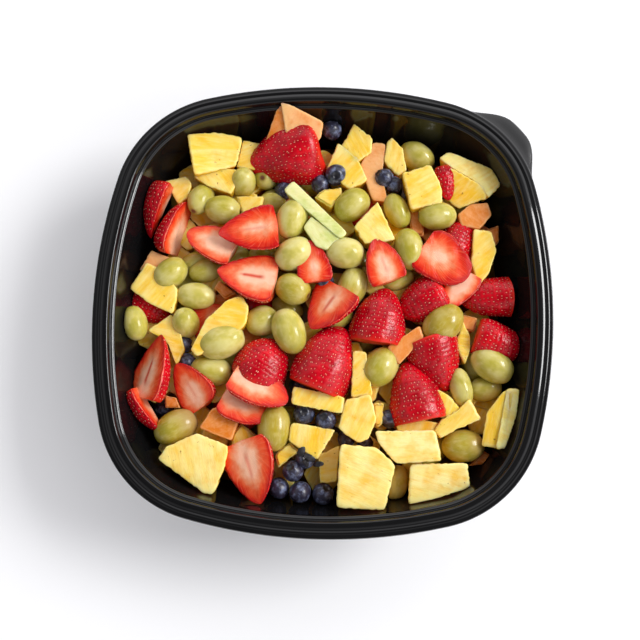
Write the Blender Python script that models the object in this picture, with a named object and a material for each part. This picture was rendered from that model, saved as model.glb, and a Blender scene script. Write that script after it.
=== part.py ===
# Fruit salad in a square black catering bowl with round corners and a lifting tab.
#
# Metres, +Z up. The origin is the middle of the flat foot under the bowl, +Y points away from the
# person who looks down on it, and the lifting tab is at the +X +Y corner.
#
# bowl         a thin moulded shell: foot, curved wall, lid ledge, beaded rim and tab
# fruit_heap   a core that fills the bowl, with the pieces that show fused on

import math

import bmesh
import bpy
import numpy as np
from mathutils import Matrix, Vector

MM = 0.001

# The rim's outer edge is four long side arcs that run into four corner arcs.
HALF_WIDTH = 150 * MM
SIDE_RADIUS = 342 * MM
CORNER_RADIUS = 79.5 * MM
SIDE_STEPS = 3
CORNER_STEPS = 6

# The bowl stands on a ring-shaped foot round a raised panel.
HEIGHT = 95 * MM
WALL = 1.0 * MM
FLOOR_TOP = 2.4 * MM
PANEL_LIFT = 1.2 * MM
FOOT_WIDTH = 9 * MM
RIM_WIDTH = 14.3 * MM
RIM_DEPTH = 8 * MM
WALL_LEAN = 0.22
WALL_CURL = 26 * MM
WALL_LEVELS = 7

# The tab grows out of the rim's outer edge at one corner.
TAB_REACH = 11.6 * MM
TAB_DIRECTION = math.radians(43.2)
TAB_HALF_TURN = math.radians(12)
TAB_SHOULDER = math.radians(10)

# The heap: how high the tops of its pieces lie on the whole, at the wall and in the bowl's middle.
WALL_GAP = 0.7 * MM
PIECE_GAP = 1.6 * MM
HEAP_AT_WALL = HEIGHT - 22 * MM
HEAP_CROWN = 7 * MM
CORE_BELOW = 7 * MM
WORN_EDGE = 1.5 * MM

# The photograph's camera: focal length in pixels, picture centre, and where the rim lies from it.
FOCAL_PX = 700
CENTRE_PX = 320
RIM_EDGE_DROP = 6 * MM
CAMERA_TILT = math.radians(-9.98)
CAMERA_LEAN = math.radians(-0.93)
CAMERA_TURN = math.radians(-1.62)
RIM_FROM_CAMERA = (1.3 * MM, 11.8 * MM, -459 * MM)


def grape(at, long, wide, aim, lift, pitch=0):
    return dict(at=at, long=long, wide=wide, aim=aim, lift=lift, pitch=pitch)


def berry(at, wide, lift):
    return dict(at=at, wide=wide, lift=lift)


def strawberry(at, long, wide, aim, roll, lift, blunt, tuck, pitch=0, quarter=False):
    made = dict(at=at, long=long, wide=wide, aim=aim, roll=roll, lift=lift)
    made.update(blunt=blunt, tuck=tuck, pitch=pitch, quarter=quarter)
    return made


def chunk(corners, lift, thick=19, tilt=0, toward=0):
    return dict(corners=corners, lift=lift, thick=thick, tilt=tilt, toward=toward)


# Every piece that shows. at and corners are pixels of the photograph, and sizes are millimetres.
# lift is how far its highest part stands above the heap's general height.
# aim turns the long axis from the picture's right, counter-clockwise. pitch raises its far end.
# roll turns a strawberry about its axis: 0 has the cut face up and 180 the skin up.
# blunt goes from 0, a cone-like strawberry, to 1, a round-ended one. tuck draws its hull end in.
# A chunk's face tilts away from level, and its normal leans toward an angle of the plan.
GRAPES = [
    grape((243, 183), 24, 18.5, 60, 4, 62),
    grape((266, 178), 24, 17.5, 250, -4, 68),
    grape((201, 199), 25, 17.5, 250, 3, 22),
    grape((223, 210), 25, 20, -8, 5),
    grape((171, 273), 25, 20, 42, 5),
    grape((205, 271), 23, 17.5, 10, -5),
    grape((196, 296), 27, 18.5, -5, 1),
    grape((186, 323), 24, 18.5, 95, 3, 55),
    grape((222, 342), 32, 22.5, 20, 8),
    grape((211, 371), 28.5, 21, -5, 0),
    grape((135, 323), 24, 17, 105, 7),
    grape((176, 427), 31, 22, 30, 3),
    grape((274, 428), 31, 22, 88, 7),
    grape((352, 205), 27, 21.5, 40, 5),
    grape((292, 219), 28.5, 21.5, 70, 9),
    grape((294, 254), 27.5, 22, 32, 8),
    grape((293, 289), 25, 21.5, -25, 5, 12),
    grape((289, 331), 32, 22, 112, 7),
    grape((262, 321), 23.5, 21, 20, -1),
    grape((345, 253), 27.5, 21.5, -5, 7),
    grape((352, 287), 28, 21, 72, 0),
    grape((398, 280), 24, 14, 20, -6),
    grape((340, 318), 20, 14, 40, -6),
    grape((397, 211), 26, 16.5, -65, 2),
    grape((417, 157), 27, 20, -35, 1),
    grape((437, 216), 26.5, 19.5, 182, 7, 4),
    grape((409, 249), 29, 20, 100, 8),
    grape((443, 324), 31, 23.5, 45, 8),
    grape((380, 367), 28.5, 23.5, 235, 5, 10),
    grape((492, 365), 30.5, 22, -30, 7),
    grape((485, 389), 23, 17, 10, -4),
    grape((461, 388), 27, 15, 103, 1),
    grape((463, 446), 28, 21.5, 5, 3),
    grape((397, 483), 24, 15, 80, -5),
    grape((272, 203), 20, 15, 0, -7),
    grape((196, 262), 20, 14, 10, -7),
]
BLUEBERRIES = [
    berry((332, 130), 14.5, 5),
    berry((336, 175), 15, 4),
    berry((320, 184), 13, -1),
    berry((284, 191), 13.5, -6),
    berry((384, 178), 13.5, 3),
    berry((394, 185), 12, 0),
    berry((304, 414), 14, 2),
    berry((326, 420), 14, 3),
    berry((293, 471), 14, 2),
    berry((279, 488), 14, -2),
    berry((300, 492), 14.5, 1),
    berry((323, 494), 14.5, -1),
    berry((305, 459), 13, 1),
    berry((346, 439), 12, -5),
    berry((365, 443), 11, -6),
    berry((325, 282), 12.5, -4),
    berry((389, 419), 12.5, -3),
    berry((184, 344), 12, -6),
    berry((187, 362), 12.5, -6),
]
STRAWBERRIES = [
    strawberry((164, 212), 38, 36, -111, -93, 12, 0.4, 0.2, quarter=True),
    strawberry((180, 230), 39, 35, 76, 77, 9, 0.3, 0.45, pitch=10),
    strawberry((212, 241), 34, 26, 160, 12, 4, 0.8, 0.2),
    strawberry((250, 229), 39, 33, 190, 0, 8, 0, 0.18),
    strawberry((249, 275), 39, 37, 172, 16, 7, 0, 0.18),
    strawberry((152, 309), 30, 24, -30, 180, -5, 0.4, 0.2),
    strawberry((150, 368), 43, 34, 75, -38, 11, 0.1, 0.2),
    strawberry((152, 408), 34, 30, -58, -76, 8, 0.3, 0.2, quarter=True),
    strawberry((190, 387), 33, 30, 125, -26, 3, 0.3, 0.4),
    strawberry((264, 364), 33, 37, 62, 180, 7, 1, 0.2),
    strawberry((259, 386), 40, 28, -27, -24, 10, 0.8, 0.3),
    strawberry((246, 404), 35, 28, -22, -20, 4, 0.8, 0.3),
    strawberry((250, 470), 42, 38, -70, 18, 9, 0, 0.3),
    strawberry((286, 157), 53, 54, 197, 180, 15, 0, 0.4),
    strawberry((445, 183), 24, 15, -80, 160, 6, 0.8, 0.3),
    strawberry((456, 242), 31, 27, 60, 180, 3, 0.6, 0.2),
    strawberry((444, 260), 37, 34, -35, 0, 6, 1, 0.3),
    strawberry((383, 261), 31, 27, 110, 0, 4, 0.3, 0.18),
    strawberry((458, 289), 31, 24, -120, 0, 2, 0, 0.18),
    strawberry((486, 298), 34, 28, 184, 180, 6, 0.5, 0.05),
    strawberry((497, 343), 33, 28, -18, 180, 7, 1, 0.2),
    strawberry((422, 302), 33, 33, -150, 180, 5, 0.4, 0.2),
    strawberry((380, 318), 40, 38, 80, 180, 8, 0.4, 0.1),
    strawberry((327, 361), 46, 42, 68, 180, 10, 0.7, 0.15),
    strawberry((436, 363), 37, 39, -70, 175, 7, 0, 0.1),
    strawberry((414, 394), 40, 38, 104, 180, 8, 0.3, 0.1),
    strawberry((327, 306), 35, 35, -124, 25, 7, 0, 0.18),
    strawberry((313, 262), 28, 24, 100, 0, 2, 0.3, 0.18),
]
PINEAPPLE = [
    chunk(((187, 134), (216, 132), (243, 137), (237, 166), (194, 175)), 5, tilt=14, toward=0),
    chunk(((193, 176), (206, 168), (237, 169), (238, 182), (231, 194), (206, 185)), 0),
    chunk(((164, 181), (185, 176), (192, 183), (188, 198), (178, 204)), -3),
    chunk(((243, 140), (263, 143), (256, 170), (236, 167)), -2),
    chunk(((129, 288), (146, 262), (164, 270), (178, 290), (173, 314), (150, 304)), 0, thick=15),
    chunk(
        ((190, 350), (205, 320), (226, 300), (241, 295), (249, 306), (246, 325), (197, 357)),
        3, thick=16,
    ),
    chunk(((147, 330), (171, 314), (180, 328), (184, 350), (176, 366), (167, 342)), -4),
    chunk(((231, 436), (241, 423), (258, 437), (246, 450), (232, 451)), -6),
    chunk(
        ((157, 459), (165, 447), (196, 433), (229, 446), (224, 468), (214, 495), (204, 494)),
        4, thick=17,
    ),
    chunk(((354, 123), (373, 138), (372, 152), (356, 163), (341, 146)), 1),
    chunk(((338, 142), (358, 158), (368, 180), (350, 190), (326, 170)), 0),
    chunk(((387, 141), (392, 137), (403, 148), (407, 170), (398, 176), (384, 162)), 0),
    chunk(((314, 197), (322, 190), (341, 187), (342, 195), (331, 208)), -2),
    chunk(((236, 196), (264, 196), (262, 212), (242, 216)), -5),
    chunk(((378, 201), (396, 240), (364, 243), (354, 226)), 4),
    chunk(((402, 173), (431, 164), (441, 185), (443, 203), (411, 209)), 6),
    chunk(
        ((439, 158), (448, 151), (499, 171), (501, 184), (489, 198), (482, 186), (466, 176), (452, 168)),
        4, thick=17,
    ),
    chunk(
        ((442, 166), (452, 168), (468, 177), (484, 187), (488, 198), (458, 209), (445, 198)),
        2.5, thick=17, tilt=16, toward=-110,
    ),
    chunk(((474, 228), (492, 231), (497, 250), (490, 272), (478, 287), (471, 262)), 1, thick=16),
    chunk(((463, 320), (471, 338), (470, 352), (465, 365), (455, 345)), -4),
    chunk(((436, 388), (450, 396), (462, 410), (452, 420), (440, 418)), -1),
    chunk(((441, 420), (458, 410), (470, 398), (482, 419), (456, 430), (440, 439), (434, 430)), 1),
    chunk(((395, 414), (445, 424), (438, 434), (398, 432)), -2),
    chunk(((374, 431), (436, 430), (442, 461), (396, 464), (380, 445)), 5),
    chunk(((340, 444), (376, 447), (396, 465), (385, 511), (336, 508)), 8, thick=20),
    chunk(((410, 464), (468, 463), (471, 488), (440, 498), (408, 505)), 5, thick=17),
    chunk(
        ((504, 390), (514, 391), (503, 449), (481, 446), (487, 412)),
        7.7, thick=20, tilt=14, toward=180,
    ),
    chunk(((507, 388), (520, 389), (517, 415), (505, 450), (496, 449), (502, 415)), 10, thick=21),
    chunk(((346, 399), (371, 394), (377, 420), (368, 440), (357, 443), (338, 428)), 3),
    chunk(((353, 350), (366, 351), (373, 396), (351, 398)), 0),
    chunk(((293, 386), (345, 397), (343, 414), (291, 404)), 2, thick=14),
    chunk(((291, 422), (336, 430), (317, 460), (288, 441)), 1),
    chunk(((275, 455), (289, 442), (300, 451), (278, 468)), -2),
    chunk(((318, 455), (340, 445), (337, 482), (320, 484)), -6),
    chunk(((374, 403), (384, 403), (382, 425), (376, 428)), -4),
]
CANTALOUPE = [
    chunk(((139, 270), (151, 250), (171, 258), (164, 276)), -3, thick=14),
    chunk(((214, 288), (219, 280), (236, 293), (225, 299)), -5),
    chunk(((164, 395), (176, 398), (180, 408), (165, 408)), -7, thick=14),
    chunk(((199, 428), (211, 409), (223, 404), (239, 421), (231, 441)), -1),
    chunk(
        ((280, 99), (324, 122), (321, 139), (302, 152), (287, 152), (284, 122)),
        11, thick=20, tilt=28, toward=-75,
    ),
    chunk(
        ((280, 99), (289, 120), (291, 152), (275, 150), (264, 145)),
        9.5, thick=20, tilt=28, toward=-100,
    ),
    chunk(((373, 142), (386, 143), (382, 175), (388, 202), (372, 200), (360, 165)), -2),
    chunk(((458, 214), (470, 204), (488, 202), (492, 215), (480, 229), (461, 226)), -1, thick=16),
    chunk(((487, 229), (499, 225), (499, 242), (492, 250)), -7, thick=12),
    chunk(((408, 208), (424, 210), (424, 236), (412, 236)), -6),
    chunk(((461, 314), (478, 318), (474, 332), (464, 330)), -6),
    chunk(((387, 347), (420, 325), (424, 337), (399, 365)), 0),
    chunk(((469, 466), (485, 451), (493, 457), (488, 464)), -7, thick=12),
]
HONEYDEW = [
    chunk(((283, 190), (293, 180), (348, 233), (340, 239)), 6, thick=11),
    chunk(((303, 227), (311, 216), (341, 238), (326, 250), (316, 246)), 4, thick=11),
]


def corner_centre():
    """Where the corner arcs have their middle, on the diagonal, and the angle where a side arc ends."""
    side = HALF_WIDTH - SIDE_RADIUS
    reach = SIDE_RADIUS - CORNER_RADIUS
    middle = (side + math.sqrt(2 * reach**2 - side**2)) / 2
    return middle, math.atan2(middle, middle - side)


def outline():
    """Points and outward directions round the rim's outer edge, from +X counter-clockwise."""
    middle, end = corner_centre()
    side = HALF_WIDTH - SIDE_RADIUS
    points, outward = [], []
    for quarter in range(4):
        turn = Matrix.Rotation(quarter * math.pi / 2, 2)
        arcs = [
            ((side, 0), SIDE_RADIUS, 0, end, SIDE_STEPS),
            ((middle, middle), CORNER_RADIUS, end, math.pi / 2 - end, CORNER_STEPS),
            ((0, side), SIDE_RADIUS, math.pi / 2 - end, math.pi / 2, SIDE_STEPS),
        ]
        for centre, radius, start, stop, steps in arcs:
            for angle in np.linspace(start, stop, steps, endpoint=False):
                way = Vector((math.cos(angle), math.sin(angle)))
                points.append(turn @ (Vector(centre) + radius * way))
                outward.append(turn @ way)
    return np.array(points), np.array(outward)


def inset_of(x, y):
    """How far a point of the plan lies inside the rim's outer edge."""
    middle, end = corner_centre()
    x, y = abs(x), abs(y)
    near, far = max(x, y), min(x, y)
    side = HALF_WIDTH - SIDE_RADIUS
    if math.atan2(far, near - side) < end:
        return SIDE_RADIUS - math.hypot(near - side, far)
    return CORNER_RADIUS - math.hypot(near - middle, far - middle)


def wall_profile():
    """(inset, height) of the wall's inner face, from the lid ledge down to the floor."""
    drop = HEIGHT - RIM_DEPTH - FLOOR_TOP
    depths = [drop * step / WALL_LEVELS for step in range(WALL_LEVELS + 1)]
    insets = [RIM_WIDTH + WALL_LEAN * depth + WALL_CURL * (depth / drop) ** 3 for depth in depths]
    return [(inset, HEIGHT - RIM_DEPTH - depth) for inset, depth in zip(insets, depths)]


def wall_inset(z):
    """The inset of the wall, or of the ledge and bead over it, at height z."""
    ledge = [(RIM_WIDTH - 3 * MM, HEIGHT + MM), (RIM_WIDTH, HEIGHT - 4 * MM)]
    insets, heights = zip(*(ledge + wall_profile()))
    return float(np.interp(z, heights[::-1], insets[::-1]))


def shortfall(point):
    """How much closer to the wall a point lies than the pieces' gap allows."""
    return wall_inset(point.z) + PIECE_GAP - inset_of(point.x, point.y)


def press_in(points):
    """Brings every point that would lie beyond the wall straight in, onto the gap beside it."""
    for _ in range(3):
        steps = [max(0, shortfall(point)) for point in points]
        inward = [Vector((-point.x, -point.y, 0)).normalized() for point in points]
        points = [point + way * step for point, way, step in zip(points, inward, steps)]
    return points


def camera():
    """The camera's place, and the matrix that turns its directions into the bowl's."""
    tilt = Matrix.Rotation(CAMERA_TILT, 3, "X")
    lean = Matrix.Rotation(CAMERA_LEAN, 3, "Y")
    turn = Matrix.Rotation(CAMERA_TURN, 3, "Z")
    back = (tilt @ lean @ turn).transposed()
    return Vector((0, 0, HEIGHT - RIM_EDGE_DROP)) - back @ Vector(RIM_FROM_CAMERA), back


def heap_height(x, y):
    """The heap's general height at a place of the plan."""
    share = min(1, max(0, inset_of(x, y) - RIM_WIDTH) / (HALF_WIDTH - RIM_WIDTH))
    return HEAP_AT_WALL + HEAP_CROWN * (1 - (1 - share) ** 2)


def on_plane(pixel, point, normal):
    """Where the camera's ray through a pixel meets a plane."""
    place, back = camera()
    ray = back @ Vector(((pixel[0] - CENTRE_PX) / FOCAL_PX, (CENTRE_PX - pixel[1]) / FOCAL_PX, -1))
    return place + ray * ((point - place).dot(normal) / ray.dot(normal))


def on_heap(pixel, above):
    """Where the camera's ray through a pixel is so far above the heap's general height."""
    up = Vector((0, 0, 1))
    z = HEAP_AT_WALL
    for _ in range(6):
        found = on_plane(pixel, Vector((0, 0, z)), up)
        z = heap_height(found.x, found.y) + above
    return found


def new_object(name, bm, collection):
    mesh = bpy.data.meshes.new(name)
    bmesh.ops.triangulate(bm, faces=bm.faces)
    bmesh.ops.recalc_face_normals(bm, faces=bm.faces)
    bm.to_mesh(mesh)
    bm.free()
    made = bpy.data.objects.new(name, mesh)
    collection.objects.link(made)
    return made


def material(name, colour, roughness):
    made = bpy.data.materials.new(name)
    made.use_nodes = True
    shader = made.node_tree.nodes["Principled BSDF"]
    shader.inputs["Base Color"].default_value = (*colour, 1)
    shader.inputs["Roughness"].default_value = roughness
    shader.inputs["Metallic"].default_value = 0
    return made


def loft(bm, rings):
    """Joins closed rings of points in order, and closes the first and the last with a face."""
    loops = [[bm.verts.new(point) for point in ring] for ring in rings]
    for low, high in zip(loops, loops[1:]):
        for i, vert in enumerate(low):
            following = (i + 1) % len(low)
            bm.faces.new((vert, low[following], high[following], high[i]))
    bm.faces.new(reversed(loops[0]))
    bm.faces.new(loops[-1])


def bowl_profile():
    """(inset, height, share of the tab) round the shell, from under it over the rim to its floor."""
    top = HEIGHT
    inner = wall_profile()
    floor_inset = inner[-1][0]
    foot_out = floor_inset + 3 * MM
    under = [(inset - WALL, z - 0.4 * WALL) for inset, z in inner[:-2]][::-1]
    low = [
        (foot_out + FOOT_WIDTH + 3 * MM, PANEL_LIFT),
        (foot_out + FOOT_WIDTH, 0),
        (foot_out, 0),
        (floor_inset - 5 * MM, 3 * MM),
    ]
    rim_under = [
        (RIM_WIDTH - 1.5 * MM, top - 6.2 * MM),
        (11.1 * MM, top - 6.0 * MM),
        (10.2 * MM, top - 2.7 * MM),
        (4 * MM, top - 1.9 * MM),
        (1.6 * MM, top - 3.2 * MM),
    ]
    lip = [
        (0.9 * MM, top - 6.6 * MM, 1),
        (0, top - 6.6 * MM, 1),
        (0.1 * MM, top - 5.4 * MM, 1),
        (0.9 * MM, top - 1.6 * MM, 0),
    ]
    rim = [
        (1.8 * MM, top),
        (4.7 * MM, top - 0.05 * MM),
        (5.7 * MM, top - 0.65 * MM),
        (8.0 * MM, top - 0.2 * MM),
        (10.3 * MM, top - 0.2 * MM),
        (11.2 * MM, top - 0.9 * MM),
        (11.7 * MM, top - 4.5 * MM),
        (12.7 * MM, top - 4.6 * MM),
        (13.3 * MM, top - 5.0 * MM),
        (13.8 * MM, top - 5.3 * MM),
    ]
    flat = [(inset, z, 0) for inset, z in low + under + rim_under]
    return flat + lip + [(inset, z, 0) for inset, z in rim + inner]


def tab_reach(points):
    """How far the tab carries the outer edge out at each point of the outline, with soft shoulders."""
    off = np.abs(np.arctan2(points[:, 1], points[:, 0]) - TAB_DIRECTION)
    share = np.clip((TAB_HALF_TURN - off) / TAB_SHOULDER, 0, 1)
    return TAB_REACH * share * share * (3 - 2 * share)


def make_bowl(collection):
    points, outward = outline()
    reach = tab_reach(points)
    rings = []
    for inset, z, tab in bowl_profile():
        plan = points + outward * (tab * reach - inset)[:, None]
        rings.append([(x, y, z) for x, y in plan])
    bm = bmesh.new()
    loft(bm, rings)
    bowl = new_object("bowl", bm, collection)
    bowl.data.materials.append(material("black_plastic", (0.012, 0.012, 0.013), 0.18))
    bowl.data.shade_smooth()
    bowl.data.set_sharp_from_angle(angle=math.radians(40))
    return bowl


def make_core(collection, name, skin):
    """The heap without its loose pieces: it follows the wall, and its top is a low mound."""
    points, outward = outline()
    profile = wall_profile()[::-1]
    brim = HEAP_AT_WALL - CORE_BELOW
    walls = [(inset, max(z, FLOOR_TOP + WALL_GAP)) for inset, z in profile if z < brim - 4 * MM]
    walls.append((wall_inset(brim), brim))
    rings = []
    for inset, z in walls:
        plan = points - outward * (inset + WALL_GAP)
        rings.append([(x, y, z) for x, y in plan])
    for scale in (0.86, 0.7, 0.5, 0.28, 0.1):
        plan = (points - outward * (walls[-1][0] + WALL_GAP)) * scale
        rings.append([(x, y, heap_height(x, y) - CORE_BELOW) for x, y in plan])
    bm = bmesh.new()
    loft(bm, rings)
    core = new_object(name, bm, collection)
    core.data.materials.append(skin)
    return core


def place(bm, turn, spec):
    """Turns a piece, brings its highest point to its height, and keeps it clear of the wall."""
    points = [turn @ vert.co for vert in bm.verts]
    at = on_heap(spec["at"], spec["lift"] * MM - max(point.z for point in points))
    for vert, point in zip(bm.verts, press_in([at + point for point in points])):
        vert.co = point


def turned(aim, pitch=0, roll=0):
    """Rolls about the long axis, then raises its far end, then aims it in plan."""
    rolled = Matrix.Rotation(math.radians(roll), 3, "X")
    raised = Matrix.Rotation(math.radians(-pitch), 3, "Y")
    return Matrix.Rotation(math.radians(aim), 3, "Z") @ raised @ rolled


def make_ball(collection, name, spec, turn, sides, rings):
    """A grape or a berry: a sphere drawn out along its axis."""
    bm = bmesh.new()
    bmesh.ops.create_uvsphere(bm, u_segments=sides, v_segments=rings, radius=0.515 * MM)
    bmesh.ops.rotate(bm, verts=bm.verts, matrix=Matrix.Rotation(math.pi / 2, 3, "Y"))
    bmesh.ops.scale(bm, verts=bm.verts, vec=(spec.get("long", spec["wide"]), spec["wide"], spec["wide"]))
    place(bm, turn, spec)
    return new_object(name, bm, collection)


def strawberry_width(share, blunt, tuck):
    """Radius of a strawberry as a share of its largest, from the cut hull end at 0 to the tip at 1."""
    cone = (1 - share**1.75) ** 0.7
    oval = math.sqrt(1 - share**2.6)
    return (cone + blunt * (oval - cone)) * (1 - tuck * math.exp(-share / 0.09))


def make_strawberry(collection, name, spec):
    """A half or a quarter of a round body that tapers to its tip and is cut flat at the hull end."""
    turn = math.pi / 2 if spec["quarter"] else math.pi
    steps = 3 if spec["quarter"] else 5
    section = [math.pi + turn * step / steps for step in range(steps + 1)]
    section = [(math.cos(angle), 0.92 * math.sin(angle)) for angle in section]
    if spec["quarter"]:
        section.append((0, 0))
    across = 0.515 * spec["wide"] * MM
    rings = []
    for share in (0, 0.16, 0.45, 0.75, 0.96):
        radius = across * strawberry_width(share, spec["blunt"], spec["tuck"])
        x = (share - 0.46) * spec["long"] * MM
        rings.append([(x, radius * y, radius * z) for y, z in section])
    bm = bmesh.new()
    loft(bm, rings)
    place(bm, turned(spec["aim"], spec["pitch"], spec["roll"]), spec)
    return new_object(name, bm, collection)


def make_chunk(collection, name, spec):
    """A knife-cut block: its top face is seen in the photograph, and its sides go straight down from it."""
    tilt, toward = math.radians(spec["tilt"]), math.radians(spec["toward"])
    normal = Vector((math.sin(tilt) * math.cos(toward), math.sin(tilt) * math.sin(toward), math.cos(tilt)))
    count = len(spec["corners"])
    middle_px = [sum(corner[i] for corner in spec["corners"]) / count for i in (0, 1)]
    middle = on_heap(middle_px, spec["lift"] * MM)
    top = [on_plane(corner, middle, normal) for corner in spec["corners"]]
    size = sum((point - middle).length for point in top) / count
    face = [middle + (point - middle) * (1 - WORN_EDGE / size) for point in top]
    shoulder = [point - normal * WORN_EDGE for point in top]
    foot = [middle + (point - middle) * 0.9 - normal * spec["thick"] * MM for point in top]
    bm = bmesh.new()
    loft(bm, [press_in(foot), press_in(shoulder), press_in(face)])
    return new_object(name, bm, collection)


def make_pieces(collection, skins):
    """Every piece that shows, each with its fruit's colour."""
    made = []
    for number, spec in enumerate(GRAPES):
        turn = turned(spec["aim"], spec["pitch"])
        piece = make_ball(collection, f"grape_{number}", spec, turn, 8, 5)
        made.append((piece, skins["grape"]))
    for number, spec in enumerate(BLUEBERRIES):
        turn = turned(30 * number)
        piece = make_ball(collection, f"blueberry_{number}", spec, turn, 6, 4)
        made.append((piece, skins["blueberry"]))
    for number, spec in enumerate(STRAWBERRIES):
        piece = make_strawberry(collection, f"strawberry_{number}", spec)
        made.append((piece, skins["strawberry"]))
    for fruit, specs in (("pineapple", PINEAPPLE), ("cantaloupe", CANTALOUPE), ("honeydew", HONEYDEW)):
        for number, spec in enumerate(specs):
            made.append((make_chunk(collection, f"{fruit}_{number}", spec), skins[fruit]))
    for piece, skin in made:
        piece.data.materials.append(skin)
    return [piece for piece, skin in made]


def keep_largest_shell(mesh):
    """Drops loose scraps and fills sealed hollows: only the shell with the most faces stays."""
    bm = bmesh.new()
    bm.from_mesh(mesh)
    left, shells = set(bm.faces), []
    while left:
        shell, edge = set(), [left.pop()]
        while edge:
            face = edge.pop()
            shell.add(face)
            sides = [side for side in face.edges if len(side.link_faces) == 2]
            found = {other for side in sides for other in side.link_faces} & left
            left -= found
            edge.extend(found)
        shells.append(shell)
    largest = max(shells, key=len)
    print("heap shells:", sorted((len(shell) for shell in shells), reverse=True))
    loose = [face for shell in shells if shell is not largest for face in shell]
    bmesh.ops.delete(bm, geom=loose, context="FACES")
    bm.to_mesh(mesh)
    bm.free()


def make_heap(collection):
    """The core and its pieces, fused into one solid."""
    skins = {
        "grape": material("grape_skin", (0.42, 0.45, 0.06), 0.3),
        "blueberry": material("blueberry_skin", (0.03, 0.04, 0.10), 0.5),
        "strawberry": material("strawberry_flesh", (0.62, 0.02, 0.02), 0.35),
        "pineapple": material("pineapple_flesh", (0.85, 0.55, 0.07), 0.4),
        "cantaloupe": material("cantaloupe_flesh", (0.85, 0.33, 0.07), 0.4),
        "honeydew": material("honeydew_flesh", (0.66, 0.68, 0.25), 0.4),
    }
    heap = make_core(collection, "fruit_heap", skins["pineapple"])
    loose = bpy.data.collections.new("loose_fruit")
    bpy.context.scene.collection.children.link(loose)
    pieces = make_pieces(loose, skins)
    for skin in skins.values():
        if skin.name not in heap.data.materials:
            heap.data.materials.append(skin)
    fuse = heap.modifiers.new("fuse", "BOOLEAN")
    fuse.operation = "UNION"
    fuse.operand_type = "COLLECTION"
    fuse.collection = loose
    fuse.solver = "MANIFOLD"
    fuse.material_mode = "TRANSFER"
    graph = bpy.context.evaluated_depsgraph_get()
    fused = bpy.data.meshes.new_from_object(heap.evaluated_get(graph))
    heap.modifiers.clear()
    heap.data = fused
    for piece in pieces:
        bpy.data.objects.remove(piece)
    bpy.data.collections.remove(loose)
    keep_largest_shell(heap.data)
    return heap


def main():
    for old in list(bpy.data.objects):
        bpy.data.objects.remove(old)
    salad = bpy.data.collections.new("fruit_salad")
    bpy.context.scene.collection.children.link(salad)
    make_bowl(salad)
    make_heap(salad)


main()
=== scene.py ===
import math

import bmesh
import bpy
import mathutils
import numpy as np
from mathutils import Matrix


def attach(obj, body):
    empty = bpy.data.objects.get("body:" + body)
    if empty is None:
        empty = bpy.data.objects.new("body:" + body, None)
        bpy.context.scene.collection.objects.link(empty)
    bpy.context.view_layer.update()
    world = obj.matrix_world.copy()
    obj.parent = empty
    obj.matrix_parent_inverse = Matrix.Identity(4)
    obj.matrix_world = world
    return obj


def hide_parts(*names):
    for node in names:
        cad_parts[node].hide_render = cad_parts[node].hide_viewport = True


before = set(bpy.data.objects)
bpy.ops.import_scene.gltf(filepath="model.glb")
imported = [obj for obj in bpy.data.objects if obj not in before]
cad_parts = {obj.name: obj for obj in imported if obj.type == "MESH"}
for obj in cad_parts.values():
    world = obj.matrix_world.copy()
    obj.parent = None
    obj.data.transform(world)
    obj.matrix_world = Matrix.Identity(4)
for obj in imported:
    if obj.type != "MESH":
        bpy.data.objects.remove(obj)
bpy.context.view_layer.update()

mm = 0.001

# the bowl's sizes, in metres, as the part's own source has them
bowl = {
    "halfWidth": 150 * mm,
    "sideRadius": 342 * mm,
    "cornerRadius": 79.5 * mm,
    "sideSteps": 16,
    "cornerSteps": 30,
    "height": 95 * mm,
    "wall": 1.0 * mm,
    "floorTop": 2.4 * mm,
    "panelLift": 1.2 * mm,
    "footWidth": 9 * mm,
    "rimWidth": 14.3 * mm,
    "rimDepth": 8 * mm,
    "wallLean": 0.22,
    "wallCurl": 26 * mm,  # how far the wall comes in over its lean by the floor
    "tabReach": 11.6 * mm,
    "tabDirection": math.radians(43.2),
    "tabHalfTurn": math.radians(12),
    "tabShoulder": math.radians(10),
    "wallLevels": 24,
    "lipOpens": 3 * mm,  # the rim's inner edge stands back so far at its top
    "lipFrom": 4 * mm,
    "colour": (0.0035, 0.0035, 0.0037),
    "rubbed": (0.006, 0.006, 0.0065),
    "gloss": (0.05, 0.11),
    "tabDull": 0.16,
    "ior": 1.48,
}

# how high the tops of the pieces lie on the whole, and how far they stay off the wall
heap = {
    "atWall": bowl["height"] - 22 * mm,
    "crown": 7 * mm,
    "pieceGap": 0.5 * mm,
}

# the camera of the photograph: pixels of a 640 by 640 picture, angles of the rim plane
view = {
    "focal": 700,  # pixels
    "centre": 320,
    "sensor": 36,  # millimetres
    "rimDrop": 6 * mm,  # the fitted rim line lies so far under the rim's top
    "angles": (-9.98, -0.93, -1.62),
    "rimFromCamera": (1.3 * mm, 11.8 * mm, -459 * mm),
}


def turnAbout(axis, degrees):
    # rotation matrix about one axis, counter-clockwise
    c, s = math.cos(math.radians(degrees)), math.sin(math.radians(degrees))
    a, b = (axis + 1) % 3, (axis + 2) % 3
    turn = np.eye(3)
    turn[a, a] = turn[b, b] = c
    turn[a, b] = -s
    turn[b, a] = s
    return turn


def turned(aim, pitch=0, roll=0):
    # roll about the long axis, then raise its far end, then aim it in plan
    return turnAbout(2, aim) @ turnAbout(1, -pitch) @ turnAbout(0, roll)


tiltX, tiltY, tiltZ = [turnAbout(axis, view["angles"][axis]) for axis in range(3)]
cameraBack = (tiltX @ tiltY @ tiltZ).T
rimCentre = np.array([0, 0, bowl["height"] - view["rimDrop"]])
cameraPlace = rimCentre - cameraBack @ np.array(view["rimFromCamera"])


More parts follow.
